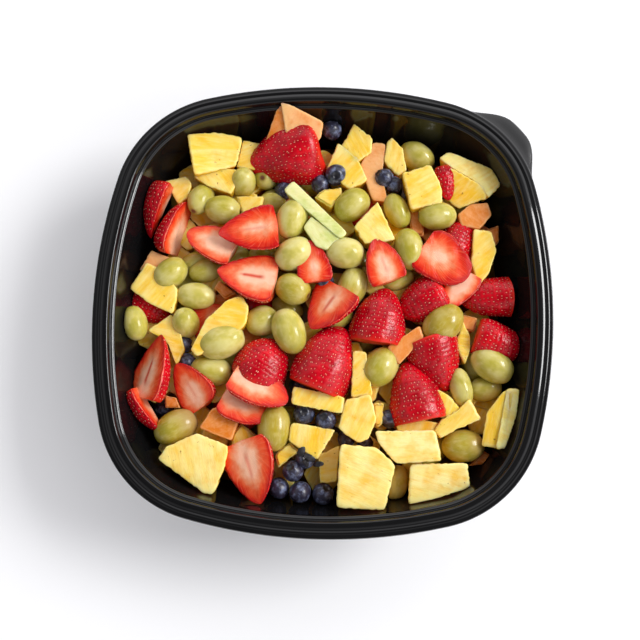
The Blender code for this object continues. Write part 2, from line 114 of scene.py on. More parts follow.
def cornerCentre():
    # the corner arcs' middle lies on the diagonal, where both arcs share one tangent
    side = bowl["halfWidth"] - bowl["sideRadius"]
    reach = bowl["sideRadius"] - bowl["cornerRadius"]
    middle = (side + math.sqrt(2 * reach**2 - side**2)) / 2
    return middle, math.atan2(middle, middle - side)


def outline(sideSteps, cornerSteps):
    # points and outward directions round the rim's edge: a side arc, a corner arc and
    # a side arc, turned four times
    middle, end = cornerCentre()
    side = bowl["halfWidth"] - bowl["sideRadius"]
    quarterTurn = math.pi / 2
    arcs = (
        ((side, 0), bowl["sideRadius"], 0, end, sideSteps),
        ((middle, middle), bowl["cornerRadius"], end, quarterTurn - end, cornerSteps),
        ((0, side), bowl["sideRadius"], quarterTurn - end, quarterTurn, sideSteps),
    )
    points, ways = [], []
    for centre, radius, start, stop, steps in arcs:
        angles = np.linspace(start, stop, steps, endpoint=False)
        ways.append(np.stack([np.cos(angles), np.sin(angles)], 1))
        points.append(np.array(centre) + radius * ways[-1])
    turns = [turnAbout(2, 90 * quarter)[:2, :2].T for quarter in range(4)]
    return [np.concatenate([np.concatenate(found) @ turn for turn in turns]) for found in (points, ways)]


def insetOf(points):
    # distance of plan points inward from the rim's edge
    middle, end = cornerCentre()
    plan = np.abs(points[..., :2])
    near, far = plan.max(-1), plan.min(-1)
    side = bowl["halfWidth"] - bowl["sideRadius"]
    onSide = np.arctan2(far, near - side) < end
    fromSide = bowl["sideRadius"] - np.hypot(near - side, far)
    fromCorner = bowl["cornerRadius"] - np.hypot(near - middle, far - middle)
    return np.where(onSide, fromSide, fromCorner)


def wallProfile(levels):
    # inset grows evenly with depth and with its cube, so the wall curls into the floor
    drop = bowl["height"] - bowl["rimDepth"] - bowl["floorTop"]
    depth = drop * np.linspace(0, 1, levels + 1)
    inset = bowl["rimWidth"] + bowl["wallLean"] * depth + bowl["wallCurl"] * (depth / drop) ** 3
    return inset, bowl["height"] - bowl["rimDepth"] - depth


def shortfall(points):
    # how much closer to the wall the points lie than the pieces' gap allows;
    # over the wall the line goes on up the rim's inner edge, which opens out
    inset, z = wallProfile(bowl["wallLevels"])
    inset = np.concatenate([[bowl["rimWidth"] - bowl["lipOpens"], bowl["rimWidth"]], inset])
    z = np.concatenate([[bowl["height"] + mm, bowl["height"] - bowl["lipFrom"]], z])
    return np.interp(points[..., 2], z[::-1], inset[::-1]) + heap["pieceGap"] - insetOf(points)


def pressIn(points):
    # every point that would lie beyond the wall comes straight in, onto the gap beside it
    for _ in range(3):
        inward = -points[..., :2] / np.maximum(np.linalg.norm(points[..., :2], axis=-1, keepdims=True), mm)
        step = np.maximum(shortfall(points), 0)[..., None] * inward
        points = np.concatenate([points[..., :2] + step, points[..., 2:]], -1)
    return points


def heapHeight(x, y):
    # rises from the wall to the middle: the crown times one less the square of the way that is left
    fromWall = insetOf(np.stack([x, y], -1)) - bowl["rimWidth"]
    share = np.clip(fromWall / (bowl["halfWidth"] - bowl["rimWidth"]), 0, 1)
    return heap["atWall"] + heap["crown"] * (1 - (1 - share) ** 2)


def onPlane(pixels, point, normal):
    # where the camera's rays through pixels meet a plane
    pixels = np.asarray(pixels, float)
    depth = np.full(pixels.shape[:-1], -1.0)
    across = (pixels[..., 0] - view["centre"]) / view["focal"]
    upward = (view["centre"] - pixels[..., 1]) / view["focal"]
    rays = np.stack([across, upward, depth], -1) @ cameraBack.T
    return cameraPlace + rays * (((point - cameraPlace) @ normal) / (rays @ normal))[..., None]


def onHeap(pixel, above):
    # where the ray through a pixel is so far above the heap's height
    z = heap["atWall"]
    for _ in range(6):
        found = onPlane(pixel, np.array([0, 0, z]), np.array([0, 0, 1.0]))
        z = float(heapHeight(found[0], found[1])) + above
    return found


def settle(points, spec):
    # brings a piece's highest point to its height over its pixel, and keeps it clear of the wall
    if "place" in spec:
        at = np.array(spec["place"]) - np.array([0, 0, points[..., 2].max()])
    else:
        at = onHeap(spec["at"], spec["lift"] * mm - points[..., 2].max())
    return pressIn(points + at)


def lumps(points, size, seed):
    # nine seeded sine waves, each about one wave per size, summed: between about -1 and 1
    rng = np.random.default_rng(seed)
    ways = rng.normal(size=(9, 3))
    ways /= np.linalg.norm(ways, axis=1, keepdims=True)
    waves = rng.uniform(0.6, 1.6, (9, 1)) * 2 * math.pi / size
    return np.sin(points @ (ways * waves).T + rng.uniform(0, 2 * math.pi, 9)).sum(-1) / 4


def gridFaces(rows, cols):
    # quads between neighbouring rows and columns of a grid that closes on itself across
    down = np.arange(rows - 1)[:, None] * cols
    across = np.arange(cols)[None, :]
    beside = (across + 1) % cols
    quads = np.stack([down + across, down + beside, down + cols + beside, down + cols + across], -1)
    return quads.reshape(-1, 4)


weld = {"distance": 2e-6, "degenerate": 1e-7}  # metres


def joinSurfaces(name, surfaces, material, sharp=None):
    # one mesh from many grids; each has points (rows, columns, 3) and fields of the same rows and
    # columns; sharp is the angle in degrees past which an edge is hard
    points, quads, fields = [], [], {}
    start = 0
    for surface in surfaces:
        rows, cols = surface["points"].shape[:2]
        points.append(surface["points"].reshape(-1, 3))
        quads.append(gridFaces(rows, cols) + start)
        start += rows * cols
        for label, value in surface["fields"].items():
            value = np.asarray(value, float)
            value = np.broadcast_to(value, (rows, cols, 3) if value.ndim == 3 else (rows, cols))
            fields.setdefault(label, []).append(value.reshape(rows * cols, -1))
    points, quads = np.concatenate(points), np.concatenate(quads)
    mesh = bpy.data.meshes.new(name)
    mesh.vertices.add(len(points))
    mesh.vertices.foreach_set("co", points.astype(np.float32).ravel())
    mesh.loops.add(quads.size)
    mesh.loops.foreach_set("vertex_index", quads.astype(np.int32).ravel())
    mesh.polygons.add(len(quads))
    mesh.polygons.foreach_set("loop_start", np.arange(0, quads.size, 4, dtype=np.int32))
    mesh.update(calc_edges=True)
    for label, parts in fields.items():
        value = np.concatenate(parts)
        kind, key = ("FLOAT_VECTOR", "vector") if value.shape[1] == 3 else ("FLOAT", "value")
        layer = mesh.attributes.new(label, kind, "POINT")
        layer.data.foreach_set(key, value.astype(np.float32).ravel())
    welded = bmesh.new()
    welded.from_mesh(mesh)
    bmesh.ops.remove_doubles(welded, verts=welded.verts, dist=weld["distance"])
    bmesh.ops.dissolve_degenerate(welded, edges=welded.edges, dist=weld["degenerate"])
    bmesh.ops.recalc_face_normals(welded, faces=welded.faces)
    welded.to_mesh(mesh)
    welded.free()
    mesh.polygons.foreach_set("use_smooth", np.ones(len(mesh.polygons), bool))
    if sharp:
        mesh.set_sharp_from_angle(angle=math.radians(sharp))
    mesh.materials.append(material)
    made = newObject(name, mesh)
    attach(made, "root")
    print(name, len(mesh.polygons), "faces")
    return made


def newObject(name, data):
    made = bpy.data.objects.new(name, data)
    bpy.context.scene.collection.objects.link(made)
    return made


def newMaterial(name):
    made = bpy.data.materials.new(name)
    made.use_nodes = True
    return made, made.node_tree, made.node_tree.nodes["Principled BSDF"]


def put(tree, kind, inputs=None, **settings):
    # adds a node, sets its options, and sets or links its sockets; gives its first output
    node = tree.nodes.new(kind)
    for key, value in settings.items():
        setattr(node, key, value)
    for key, value in (inputs or {}).items():
        if isinstance(value, bpy.types.NodeSocket):
            tree.links.new(value, node.inputs[key])
        else:
            node.inputs[key].default_value = value
    return node.outputs[0]


def maths(tree, operation, first, second=0.0):
    return put(tree, "ShaderNodeMath", {0: first, 1: second}, operation=operation)


def times(tree, first, second):
    return maths(tree, "MULTIPLY", first, second)


def plus(tree, first, second):
    return maths(tree, "ADD", first, second)


def minus(tree, first, second):
    return maths(tree, "SUBTRACT", first, second)


def field(tree, name, vector=False):
    # one of the mesh's own attributes
    put(tree, "ShaderNodeAttribute", attribute_name=name)
    return tree.nodes[-1].outputs["Vector" if vector else "Fac"]


def objectPlace(tree):
    put(tree, "ShaderNodeTexCoord")
    return tree.nodes[-1].outputs["Object"]


def ramp(tree, factor, stops):
    # colour ramp from (place, colour) stops in linear light
    node = tree.nodes.new("ShaderNodeValToRGB")
    elements = node.color_ramp.elements
    elements[0].position, elements[0].color = stops[0][0], (*stops[0][1], 1)
    elements[1].position, elements[1].color = stops[-1][0], (*stops[-1][1], 1)
    for place, colour in stops[1:-1]:
        elements.new(place).color = (*colour, 1)
    tree.links.new(factor, node.inputs[0])
    return node.outputs[0]


def mixed(tree, factor, first, second):
    # goes from the first colour to the second as the factor goes from 0 to 1
    ends = [(*colour, 1) if isinstance(colour, tuple) else colour for colour in (first, second)]
    put(tree, "ShaderNodeMix", {0: factor, 6: ends[0], 7: ends[1]}, data_type="RGBA")
    return tree.nodes[-1].outputs[2]


def layered(tree, colour, layers):
    # each layer's colour covers the ones under it as far as its own factor says
    for factor, over in layers:
        colour = mixed(tree, factor, colour, over)
    return colour


def noise(tree, vector, scale, detail=3, rough=0.55, stretch=(1, 1, 1)):
    # noise on a place, stretched along its axes
    stretched = put(tree, "ShaderNodeMapping", {"Vector": vector, "Scale": stretch})
    inputs = {"Vector": stretched, "Scale": scale, "Detail": detail, "Roughness": rough}
    return put(tree, "ShaderNodeTexNoise", inputs)


def spread(tree, value, low, high, newLow=0.0, newHigh=1.0):
    # maps a value from one range to another, kept within it
    return put(tree, "ShaderNodeMapRange", {0: value, 1: low, 2: high, 3: newLow, 4: newHigh})


def bump(tree, shader, height, distance, strength):
    made = put(tree, "ShaderNodeBump", {"Height": height, "Distance": distance, "Strength": strength})
    tree.links.new(made, shader.inputs["Normal"])


def srgb(*levels):
    # picture levels 0 to 255 as linear light
    scaled = np.array(levels) / 255
    return tuple(np.where(scaled < 0.04045, scaled / 12.92, ((scaled + 0.055) / 1.055) ** 2.4).tolist())


def coat(tree, shader, colour, roughness):
    tree.links.new(colour, shader.inputs["Base Color"])
    shader.inputs["Roughness"].default_value = roughness


def moist(tree, shader, colour, look):
    # moist fruit: light goes a little way in, and the surface is as glossy as water
    coat(tree, shader, colour, look["roughness"])
    shader.inputs["IOR"].default_value = look["ior"]
    shader.inputs["Subsurface Weight"].default_value = look["scatter"]
    shader.inputs["Subsurface Radius"].default_value = look["radius"]
    shader.inputs["Subsurface Scale"].default_value = look["depth"]


def blackPlastic():
    # near black and glossy, worn in patches, with a duller tab
    made, tree, shader = newMaterial("blackPlastic")
    place = objectPlace(tree)
    wear = noise(tree, place, 60, 6, 0.6)
    gloss = spread(tree, wear, 0.3, 0.7, *bowl["gloss"])
    dull = times(tree, field(tree, "tab"), bowl["tabDull"])
    tree.links.new(mixed(tree, wear, bowl["colour"], bowl["rubbed"]), shader.inputs["Base Color"])
    tree.links.new(plus(tree, gloss, dull), shader.inputs["Roughness"])
    shader.inputs["IOR"].default_value = bowl["ior"]
    bump(tree, shader, noise(tree, place, 900, 2, 0.5), 0.02 * mm, 0.25)
    return made


grapeLook = {
    "tones": ((0, srgb(207, 194, 108)), (0.5, srgb(184, 172, 70)), (1, srgb(172, 146, 38))),
    "veins": srgb(230, 220, 164),
    "milk": srgb(220, 212, 150),
    "deep": srgb(154, 148, 38),
    "scar": srgb(112, 70, 44),
    "brown": srgb(160, 118, 92),
    "roughness": 0.17,
    "ior": 1.4,
    "scatter": 0.6,
    "radius": (1.0, 0.95, 0.4),
    "depth": 6 * mm,
    "relief": 0.3 * mm,
}


def grapeSkin():
    # green skin with pale veins and milky clouds, brown where it was bruised
    made, tree, shader = newMaterial("grapeSkin")
    look = grapeLook
    place = field(tree, "place", True)
    tone = field(tree, "tone")
    veins = noise(tree, place, 0.5, 4, 0.6, (0.35, 1, 1))
    clouds = noise(tree, place, 0.1, 2, 0.5)
    milkiness = times(tree, spread(tree, clouds, 0.46, 0.64, 0, 0.6), spread(tree, tone, 0, 1, 1, 0.2))
    colour = layered(tree, ramp(tree, tone, look["tones"]), (
        (spread(tree, veins, 0.48, 0.7, 0, 0.22), look["veins"]),
        (milkiness, look["milk"]),
        (spread(tree, clouds, 0.34, 0.5, 0.45, 0), look["deep"]),
        (field(tree, "scar"), look["scar"]),
        (field(tree, "brown"), look["brown"]),
    ))
    moist(tree, shader, colour, look)
    bump(tree, shader, clouds, look["relief"], 0.3)
    return made


berryLook = {
    "tones": ((0, srgb(20, 23, 38)), (1, srgb(48, 28, 46))),
    "bloom": srgb(118, 128, 160),
    "rubbed": srgb(36, 38, 58),
    "crown": srgb(16, 15, 24),
    "roughness": 0.3,
    "relief": 0.1 * mm,
}


def berrySkin():
    # navy skin under a patchy pale bloom, rubbed off in spots
    made, tree, shader = newMaterial("blueberrySkin")
    look = berryLook
    place = field(tree, "place", True)
    bloom = noise(tree, place, 0.26, 5, 0.65)
    rub = noise(tree, place, 1.6, 3, 0.6)
    colour = layered(tree, ramp(tree, field(tree, "tone"), look["tones"]), (
        (spread(tree, bloom, 0.48, 0.66, 0.05, 0.95), look["bloom"]),
        (spread(tree, rub, 0.54, 0.7, 0, 0.5), look["rubbed"]),
        (field(tree, "scar"), look["crown"]),
    ))
    coat(tree, shader, colour, look["roughness"])
    bump(tree, shader, rub, look["relief"], 0.4)
    return made


strawberryLook = {
    "skin": ((0.3, srgb(160, 0, 18)), (0.55, srgb(196, 4, 26)), (0.75, srgb(220, 16, 28))),
    "shoulder": srgb(232, 56, 26),
    # dimple: painted shade in the seeds' dimples
    "dimple": srgb(122, 0, 10),
    "flesh": (
        (0.16, srgb(248, 190, 158)),
        (0.36, srgb(240, 150, 108)),
        (0.56, srgb(232, 92, 48)),
        (0.76, srgb(224, 52, 22)),
        (0.97, srgb(196, 18, 16)),
    ),
    "threads": srgb(246, 152, 104),
    "slit": srgb(214, 84, 60),
    "edge": srgb(166, 6, 18),
    "heart": 0.36,
    "slitAt": 0.40,
    "threadCount": 9.0,
    "roughness": 0.22,
    "ior": 1.36,
    "scatter": 0.2,
    "radius": (1.0, 0.25, 0.15),
    "depth": 3 * mm,
    "relief": 0.35 * mm,
}


def strawberryFlesh():
    made, tree, shader = newMaterial("strawberryFlesh")
    look = strawberryLook
    put(tree, "ShaderNodeSeparateXYZ", {0: field(tree, "cut", True)})
    across, along, cutShare = tree.nodes[-1].outputs
    place = field(tree, "place", True)
    tone = field(tree, "tone")
    # skin: red, orange near the shoulder, and painted shade that darkens the dimples
    skin = layered(tree, ramp(tree, noise(tree, place, 0.09, 3, 0.5), look["skin"]), (
        (spread(tree, along, 0.12, 0.0, 0, 0.5), look["shoulder"]),
        (times(tree, field(tree, "dimple"), 0.6), look["dimple"]),
    ))
    # flesh: rings round a pale heart, as far out as the root of the squares across and lengthwise
    toTip = maths(tree, "MAXIMUM", times(tree, minus(tree, along, look["heart"]), 1.55), 0.0)
    toHull = maths(tree, "MAXIMUM", times(tree, minus(tree, look["heart"], along), 1.1), 0.0)
    wide = maths(tree, "ABSOLUTE", across)
    lengthwise = maths(tree, "POWER", plus(tree, toTip, toHull), 2.0)
    outward = maths(tree, "SQRT", plus(tree, lengthwise, maths(tree, "POWER", wide, 2.0)))
    warp = spread(tree, noise(tree, place, 0.16, 3, 0.5), 0.2, 0.8, -0.16, 0.16)
    ring = plus(tree, plus(tree, outward, warp), spread(tree, tone, 0, 1, 0.24, -0.24))
    # pale threads that run out to the seeds, and a slit in the heart
    angle = maths(tree, "ARCTAN2", across, minus(tree, along, 0.12))
    turns = {0: times(tree, angle, look["threadCount"]), 1: times(tree, ring, 0.35), 2: tone}
    swirl = put(tree, "ShaderNodeCombineXYZ", turns)
    fine = {"Vector": swirl, "Scale": 2.6, "Detail": 4.0, "Roughness": 0.6}
    threads = put(tree, "ShaderNodeTexNoise", fine)
    strength = times(tree, spread(tree, threads, 0.5, 0.72), spread(tree, ring, 0.3, 0.7, 0.05, 0.28))
    offSlit = maths(tree, "ABSOLUTE", minus(tree, along, look["slitAt"]))
    slit = times(tree, spread(tree, wide, 0.02, 0.12, 1, 0), spread(tree, offSlit, 0.14, 0.24, 1, 0))
    flesh = layered(tree, ramp(tree, ring, look["flesh"]), (
        (strength, look["threads"]),
        (times(tree, slit, field(tree, "slit")), look["slit"]),
        (spread(tree, wide, 0.86, 0.97), look["edge"]),
    ))
    moist(tree, shader, mixed(tree, cutShare, skin, flesh), look)
    grain = times(tree, noise(tree, place, 0.9, 4, 0.6), 0.6)
    relief = times(tree, threads, times(tree, cutShare, 1.4))
    bump(tree, shader, plus(tree, grain, relief), look["relief"], 0.6)
    return made


def seedShell():
    made, tree, shader = newMaterial("strawberrySeeds")
    tones = ((0, srgb(196, 66, 52)), (0.5, srgb(224, 122, 96)), (1, srgb(238, 172, 142)))
    coat(tree, shader, ramp(tree, field(tree, "tone"), tones), 0.3)
    bump(tree, shader, noise(tree, field(tree, "place", True), 3.0), 0.05 * mm, 0.4)
    return made


def driedLeaf():
    made, tree, shader = newMaterial("driedLeaf")
    crumple = noise(tree, field(tree, "place", True), 0.8, 4, 0.6)
    coat(tree, shader, ramp(tree, crumple, ((0.3, srgb(10, 9, 12)), (0.7, srgb(34, 28, 32)))), 0.5)
    bump(tree, shader, crumple, 0.3 * mm, 0.6)
    return made


# what the cut fruits have in common
pulpLook = {
    "roughness": 0.26,
    "ior": 1.36,
    "radius": (1.0, 0.7, 0.25),
    "depth": 7 * mm,
    "specks": 0,
    "speck": srgb(150, 92, 30),
}


def pulp(name, look):
    # cut fruit with fibres along the grain, a paler worn rim, and painted shade that makes the sides deeper
    made, tree, shader = newMaterial(name)
    side, rim, contrast, streak = look["side"], look["rim"], look["contrast"], look["streak"]
    place = field(tree, "place", True)
    fibres = noise(tree, place, 0.6, 5, 0.6, streak)
    bands = noise(tree, place, 0.22, 2, 0.5, streak)
    clouds = noise(tree, place, 0.09, 3, 0.5)
    fine = noise(tree, place, 2.4, 3, 0.6, streak)
    specks = noise(tree, place, 0.34, 2, 0.5)
    tones = tuple(zip((0, 0.5, 1), look["tones"]))
    colour = layered(tree, ramp(tree, field(tree, "tone"), tones), (
        (spread(tree, bands, 0.42, 0.62, 0, contrast), rim),
        (spread(tree, clouds, 0.46, 0.66, 0, 0.6), side),
        (spread(tree, fibres, 0.46, 0.68, 0, contrast), rim),
        (spread(tree, fibres, 0.44, 0.30, 0, contrast), side),
        # painted shade: the sides take the deeper side colour
        (times(tree, field(tree, "side"), 0.8), side),
        (times(tree, field(tree, "worn"), 0.3), rim),
        (spread(tree, specks, 0.70, 0.76, 0, look["specks"]), look["speck"]),
    ))
    moist(tree, shader, colour, look)
    height = plus(tree, plus(tree, fibres, times(tree, fine, 0.3)), times(tree, bands, 1.6))
    bump(tree, shader, height, look["relief"], 0.8)
    return made


def shadedFruit():
    # the dim mass of fruit far down in the gaps
    made, tree, shader = newMaterial("shadedFruit")
    place = objectPlace(tree)
    stops = ((0.35, srgb(70, 52, 14)), (0.5, srgb(120, 84, 18)), (0.65, srgb(96, 30, 14)))
    coat(tree, shader, ramp(tree, noise(tree, place, 45, 3, 0.5), stops), 0.3)
    bump(tree, shader, noise(tree, place, 260, 3), 0.6 * mm, 0.6)
    return made


def tabReach(points):
    # how far the tab carries the rim's edge out: level at its end, smooth shoulders
    off = np.abs(np.arctan2(points[:, 1], points[:, 0]) - bowl["tabDirection"])
    share = np.clip((bowl["tabHalfTurn"] - off) / bowl["tabShoulder"], 0, 1)
    return bowl["tabReach"] * share * share * (3 - 2 * share)


def rounded(profile, steps):
    # cuts each corner of an open profile twice, which rounds it (quarter points of each side)
    for _ in range(steps):
        first = profile[:-1] * 0.75 + profile[1:] * 0.25
        second = profile[:-1] * 0.25 + profile[1:] * 0.75
        between = np.stack([first, second], 1).reshape(-1, profile.shape[1])
        profile = np.concatenate([profile[:1], between[1:-1], profile[-1:]])
    return profile


# the rim's section: millimetres in from its edge and over its top, and share of the tab
rimSection = (
    # the ledge for the lid, seen from below
    (12.8, -6.2, 0), (11.1, -6.0, 0), (10.2, -3.0, 0), (4.0, -2.2, 0), (2.2, -3.6, 0.4), (0.9, -6.6, 1),
    # the outer edge, which the tab carries out
    (0, -6.6, 1), (0, -5.6, 1), (0.3, -3.4, 1), (0.6, -2.0, 0.9), (0.8, -1.1, 0.1), (1.1, -0.35, 0),
    # the beads and grooves on top, and the step down to the wall
    (1.6, -0.2, 0), (3.3, -0.2, 0), (4.1, 0, 0), (4.8, -0.02, 0), (5.8, -0.46, 0), (6.2, -0.5, 0),
    (7.5, -0.18, 0), (8.2, -0.12, 0), (10.3, -0.14, 0), (11.05, -0.8, 0), (11.35, -2.2, 0),
    (11.7, -4.4, 0), (11.9, -4.6, 0), (12.7, -4.62, 0), (13.3, -5.14, 0), (13.6, -5.18, 0),
    (14.1, -5.62, 0), (14.2, -6.4, 0),
)
rimRounding = 2  # times that its corners are cut


def makeBowl():
    # the shell's profile, as inset, height and share of the tab, carried round the rim's outline
    inset, z = wallProfile(bowl["wallLevels"])
    footOut = inset[-1] + 3 * mm
    wall = np.stack([inset, z, 0 * z], 1)
    under = np.stack([inset - bowl["wall"], z - 0.4 * bowl["wall"], 0 * z], 1)[:-3][::-1]
    low = np.array([
        (footOut + bowl["footWidth"] + 3 * mm, bowl["panelLift"], 0),
        (footOut + bowl["footWidth"], 0, 0),
        (footOut, 0, 0),
        (inset[-1] - 5 * mm, 3 * mm, 0),
    ])
    rim = np.array(rimSection) * (mm, mm, 1) + (0, bowl["height"], 0)
    rim = rounded(np.concatenate([under[-1:], rim, wall[:1]]), rimRounding)[1:-1]
    profile = np.concatenate([low, under, rim, wall])
    points, outward = outline(bowl["sideSteps"], bowl["cornerSteps"])
    reach = tabReach(points)
    across = profile[:, 2:] * reach[None, :] - profile[:, :1]
    plan = points[None] + outward[None] * across[..., None]
    rings = np.concatenate([plan, np.broadcast_to(profile[:, 1:2, None], plan.shape[:2] + (1,))], 2)
    onTab = profile[:, 2:] * reach[None, :] / bowl["tabReach"]
    # floors under and over: the end rings shrunk to the middle
    shrunk = np.array([(0, 0, 1), (0.35, 0.35, 1), (0.7, 0.7, 1)])[:, None]
    rings = np.concatenate([rings[:1] * shrunk, rings, rings[-1:] * shrunk[::-1]])
    onTab = np.pad(onTab, ((3, 3), (0, 0)))
    shell = {"points": rings, "fields": {"tab": onTab}}
    made = joinSurfaces("squareBowl", [shell], blackPlastic(), 40)
    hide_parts("bowl")


def ovalGrid(rows, cols, long, wide, power):
    # rows run from one end of the long axis to the other, columns round it
    u = np.linspace(0, math.pi, rows)[:, None]
    v = np.linspace(0, 2 * math.pi, cols, endpoint=False)[None]
    around = np.sin(u) ** power
    x = (np.cos(u) + 0 * v) * long / 2
    return np.stack([x, around * np.cos(v) * wide / 2, around * np.sin(v) * wide / 2], -1) * mm, u, v


# each piece has a seed of its own, counted on from its kind's first; patternStep moves its pattern
# on by so many millimetres, so that no two pieces look alike
firstSeed = {"grape": 100, "blueberry": 300, "strawberry": 500, "dried": 700, "chunk": 900}
patternStep = {"grape": 40, "blueberry": 30, "strawberry": 50, "dried": 20, "chunk": 60}


def uneven(points, shape, seed):
    # a soft swelling and sinking all over
    return points * (1 + shape["uneven"] * lumps(points, shape["unevenSize"], seed)[..., None])


grapeShape = {
    "endPower": 0.92,  # under 1 the ends are blunt
    "uneven": 0.02,
    "unevenSize": 16 * mm,
    "pitWide": 0.16,
    "pitDeep": 0.9,
    "scarWide": 0.2,
}


def grapeSurface(spec, number, rows=30, cols=26):
    # an oval with blunt ends and a small pit and scar where the stem was
    shape = grapeShape
    points, u, v = ovalGrid(rows, cols, spec["long"], spec["wide"], shape["endPower"])
    seed = firstSeed["grape"] + number
    points = uneven(points, shape, seed)
    pit = np.exp(-((u / shape["pitWide"]) ** 2)) + 0 * v
    points[..., 0] -= pit * shape["pitDeep"] * mm
    browned = spec.get("brown", 0) * np.clip(points[..., 0] / mm / spec["long"] * 2.2, 0, 1)
    scar = spec.get("scar", 0) * np.clip(1.5 * np.exp(-((u / shape["scarWide"]) ** 2)), 0, 1) + 0 * v
    fields = {
        "place": points / mm + patternStep["grape"] * number,
        "tone": spec.get("tone", np.random.default_rng(seed).uniform(0.1, 0.8)),
        "scar": scar,
        "brown": browned,
    }
    return {"points": settle(points @ turned(spec["aim"], spec.get("pitch", 0)).T, spec), "fields": fields}


berryShape = {
    "flat": 0.94,
    "uneven": 0.02,
    "unevenSize": 8 * mm,
    "lobes": 5,
    "crownAt": 0.42,
    "crownWide": 0.09,
    "crownHigh": 0.75,
    "pitWide": 0.3,
    "pitDeep": 0.9,
}


def berrySurface(spec, number, rows=26, cols=30):
    # a slightly flat ball with a pit inside a ring of five lobes
    shape = berryShape
    points, u, v = ovalGrid(rows, cols, spec["wide"] * shape["flat"], spec["wide"], 1)
    seed = firstSeed["blueberry"] + number
    rng = np.random.default_rng(seed)
    points = uneven(points, shape, seed)
    lobes = 0.55 + 0.45 * np.cos(shape["lobes"] * v)
    ring = np.exp(-(((u - shape["crownAt"]) / shape["crownWide"]) ** 2)) * lobes
    pit = np.exp(-((u / shape["pitWide"]) ** 4)) + 0 * v
    points[..., 0] += (shape["crownHigh"] * ring - shape["pitDeep"] * pit) * mm
    aim = spec.get("aim", rng.uniform(0, 360))
    pitch = spec.get("pitch", rng.uniform(-20, 75))
    fields = {
        "place": points / mm + patternStep["blueberry"] * number,
        "tone": rng.uniform(0, 0.5),
        "scar": np.clip(1.2 * np.exp(-((u / 0.46) ** 6)) + 0 * v, 0, 1),
    }
    return {"points": settle(points @ turned(aim, pitch).T, spec), "fields": fields}


strawberryShape = {
    "middle": 0.46,  # the share of the length that stands at its place
    "halfWidth": 0.515,
    "squat": 0.92,
    "lean": 0.75,  # how far the skin's outward directions lean to the tip
    "uneven": 0.035,
    "unevenSize": 26 * mm,
    "seedRows": 2.9,
    "seedGap": 3.1,
    "seedSink": 0.12,
    "seedHalf": (0.54, 0.31, 0.22),
    "dimpleDeep": 0.4,
    "dimpleWide": 0.85,
    "swell": 0.24,
    "cutFrom": 0.02,
    "cutTo": 0.965,
    "skinFrom": 0.045,
    "endRings": (0.0, 0.3, 0.6, 0.85, 0.96),
    "seedDraw": 71,
    "sharp": 62,
}


def strawberryWidth(share, spec):
    # radius from the cut hull end (0) to the tip (1) as a share of the largest:
    # between a cone and half an oval, tucked in at the hull end
    share = np.clip(share, 0, 1)
    cone = (1 - share**1.75) ** 0.7
    oval = np.sqrt(1 - share**2.6)
    tuck = 1 - spec.get("tuck", 0.18) * np.exp(-share / 0.09)
    return (cone + spec.get("blunt", 0) * (oval - cone)) * tuck


def sectionRound(turn, arcSteps, flatSteps):
    # the cut berry's section: an arc of skin, then two flat cuts after a quarter turn, or one
    # after half a turn; gives y, z, flat share and place across
    low, high = strawberryShape["cutFrom"], strawberryShape["cutTo"]
    arc = math.pi + np.linspace(strawberryShape["skinFrom"], turn - strawberryShape["skinFrom"], arcSteps)
    parts = [np.stack([np.cos(arc), np.sin(arc), 0 * arc, 0 * arc], 1)]
    if turn < math.pi:
        half = np.linspace(low, high, flatSteps // 2)
        parts.append(np.stack([0 * half, -half[::-1], 0 * half + 1, half[::-1]], 1))
        parts.append(np.stack([-half, 0 * half, 0 * half + 1, half], 1))
    else:
        whole = np.linspace(high, -high, flatSteps)
        parts.append(np.stack([whole, 0 * whole, 0 * whole + 1, whole], 1))
    return np.concatenate(parts)


def seedPlaces(spec, turn, seed, rng):
    # seeds on staggered rows round the skin: their places and outward directions
    shape = strawberryShape
    length, across = spec["long"], shape["halfWidth"] * spec["wide"]
    seeds, seedOut = [], []
    for i, row in enumerate(np.arange(0.06, 0.97, shape["seedRows"] / length)):
        around = strawberryWidth(row, spec) * across * turn
        count = max(1, int(around / shape["seedGap"]))
        angles = math.pi + turn * (np.arange(count) + 0.5 + 0.25 * (-1) ** i) / count
        angles = angles + rng.uniform(-0.07, 0.07, count)
        here = row + rng.uniform(-0.016, 0.016, count)
        wide = strawberryWidth(here, spec) * across
        x = (here - shape["middle"]) * length
        seeds.append(np.stack([x, wide * np.cos(angles), wide * np.sin(angles) * shape["squat"]], 1) * mm)
        seedOut.append(np.stack([0 * angles + shape["lean"] * row, np.cos(angles), np.sin(angles)], 1))
    seedOut = np.concatenate(seedOut)
    seedOut /= np.linalg.norm(seedOut, axis=1, keepdims=True)
    return uneven(np.concatenate(seeds), shape, seed), seedOut


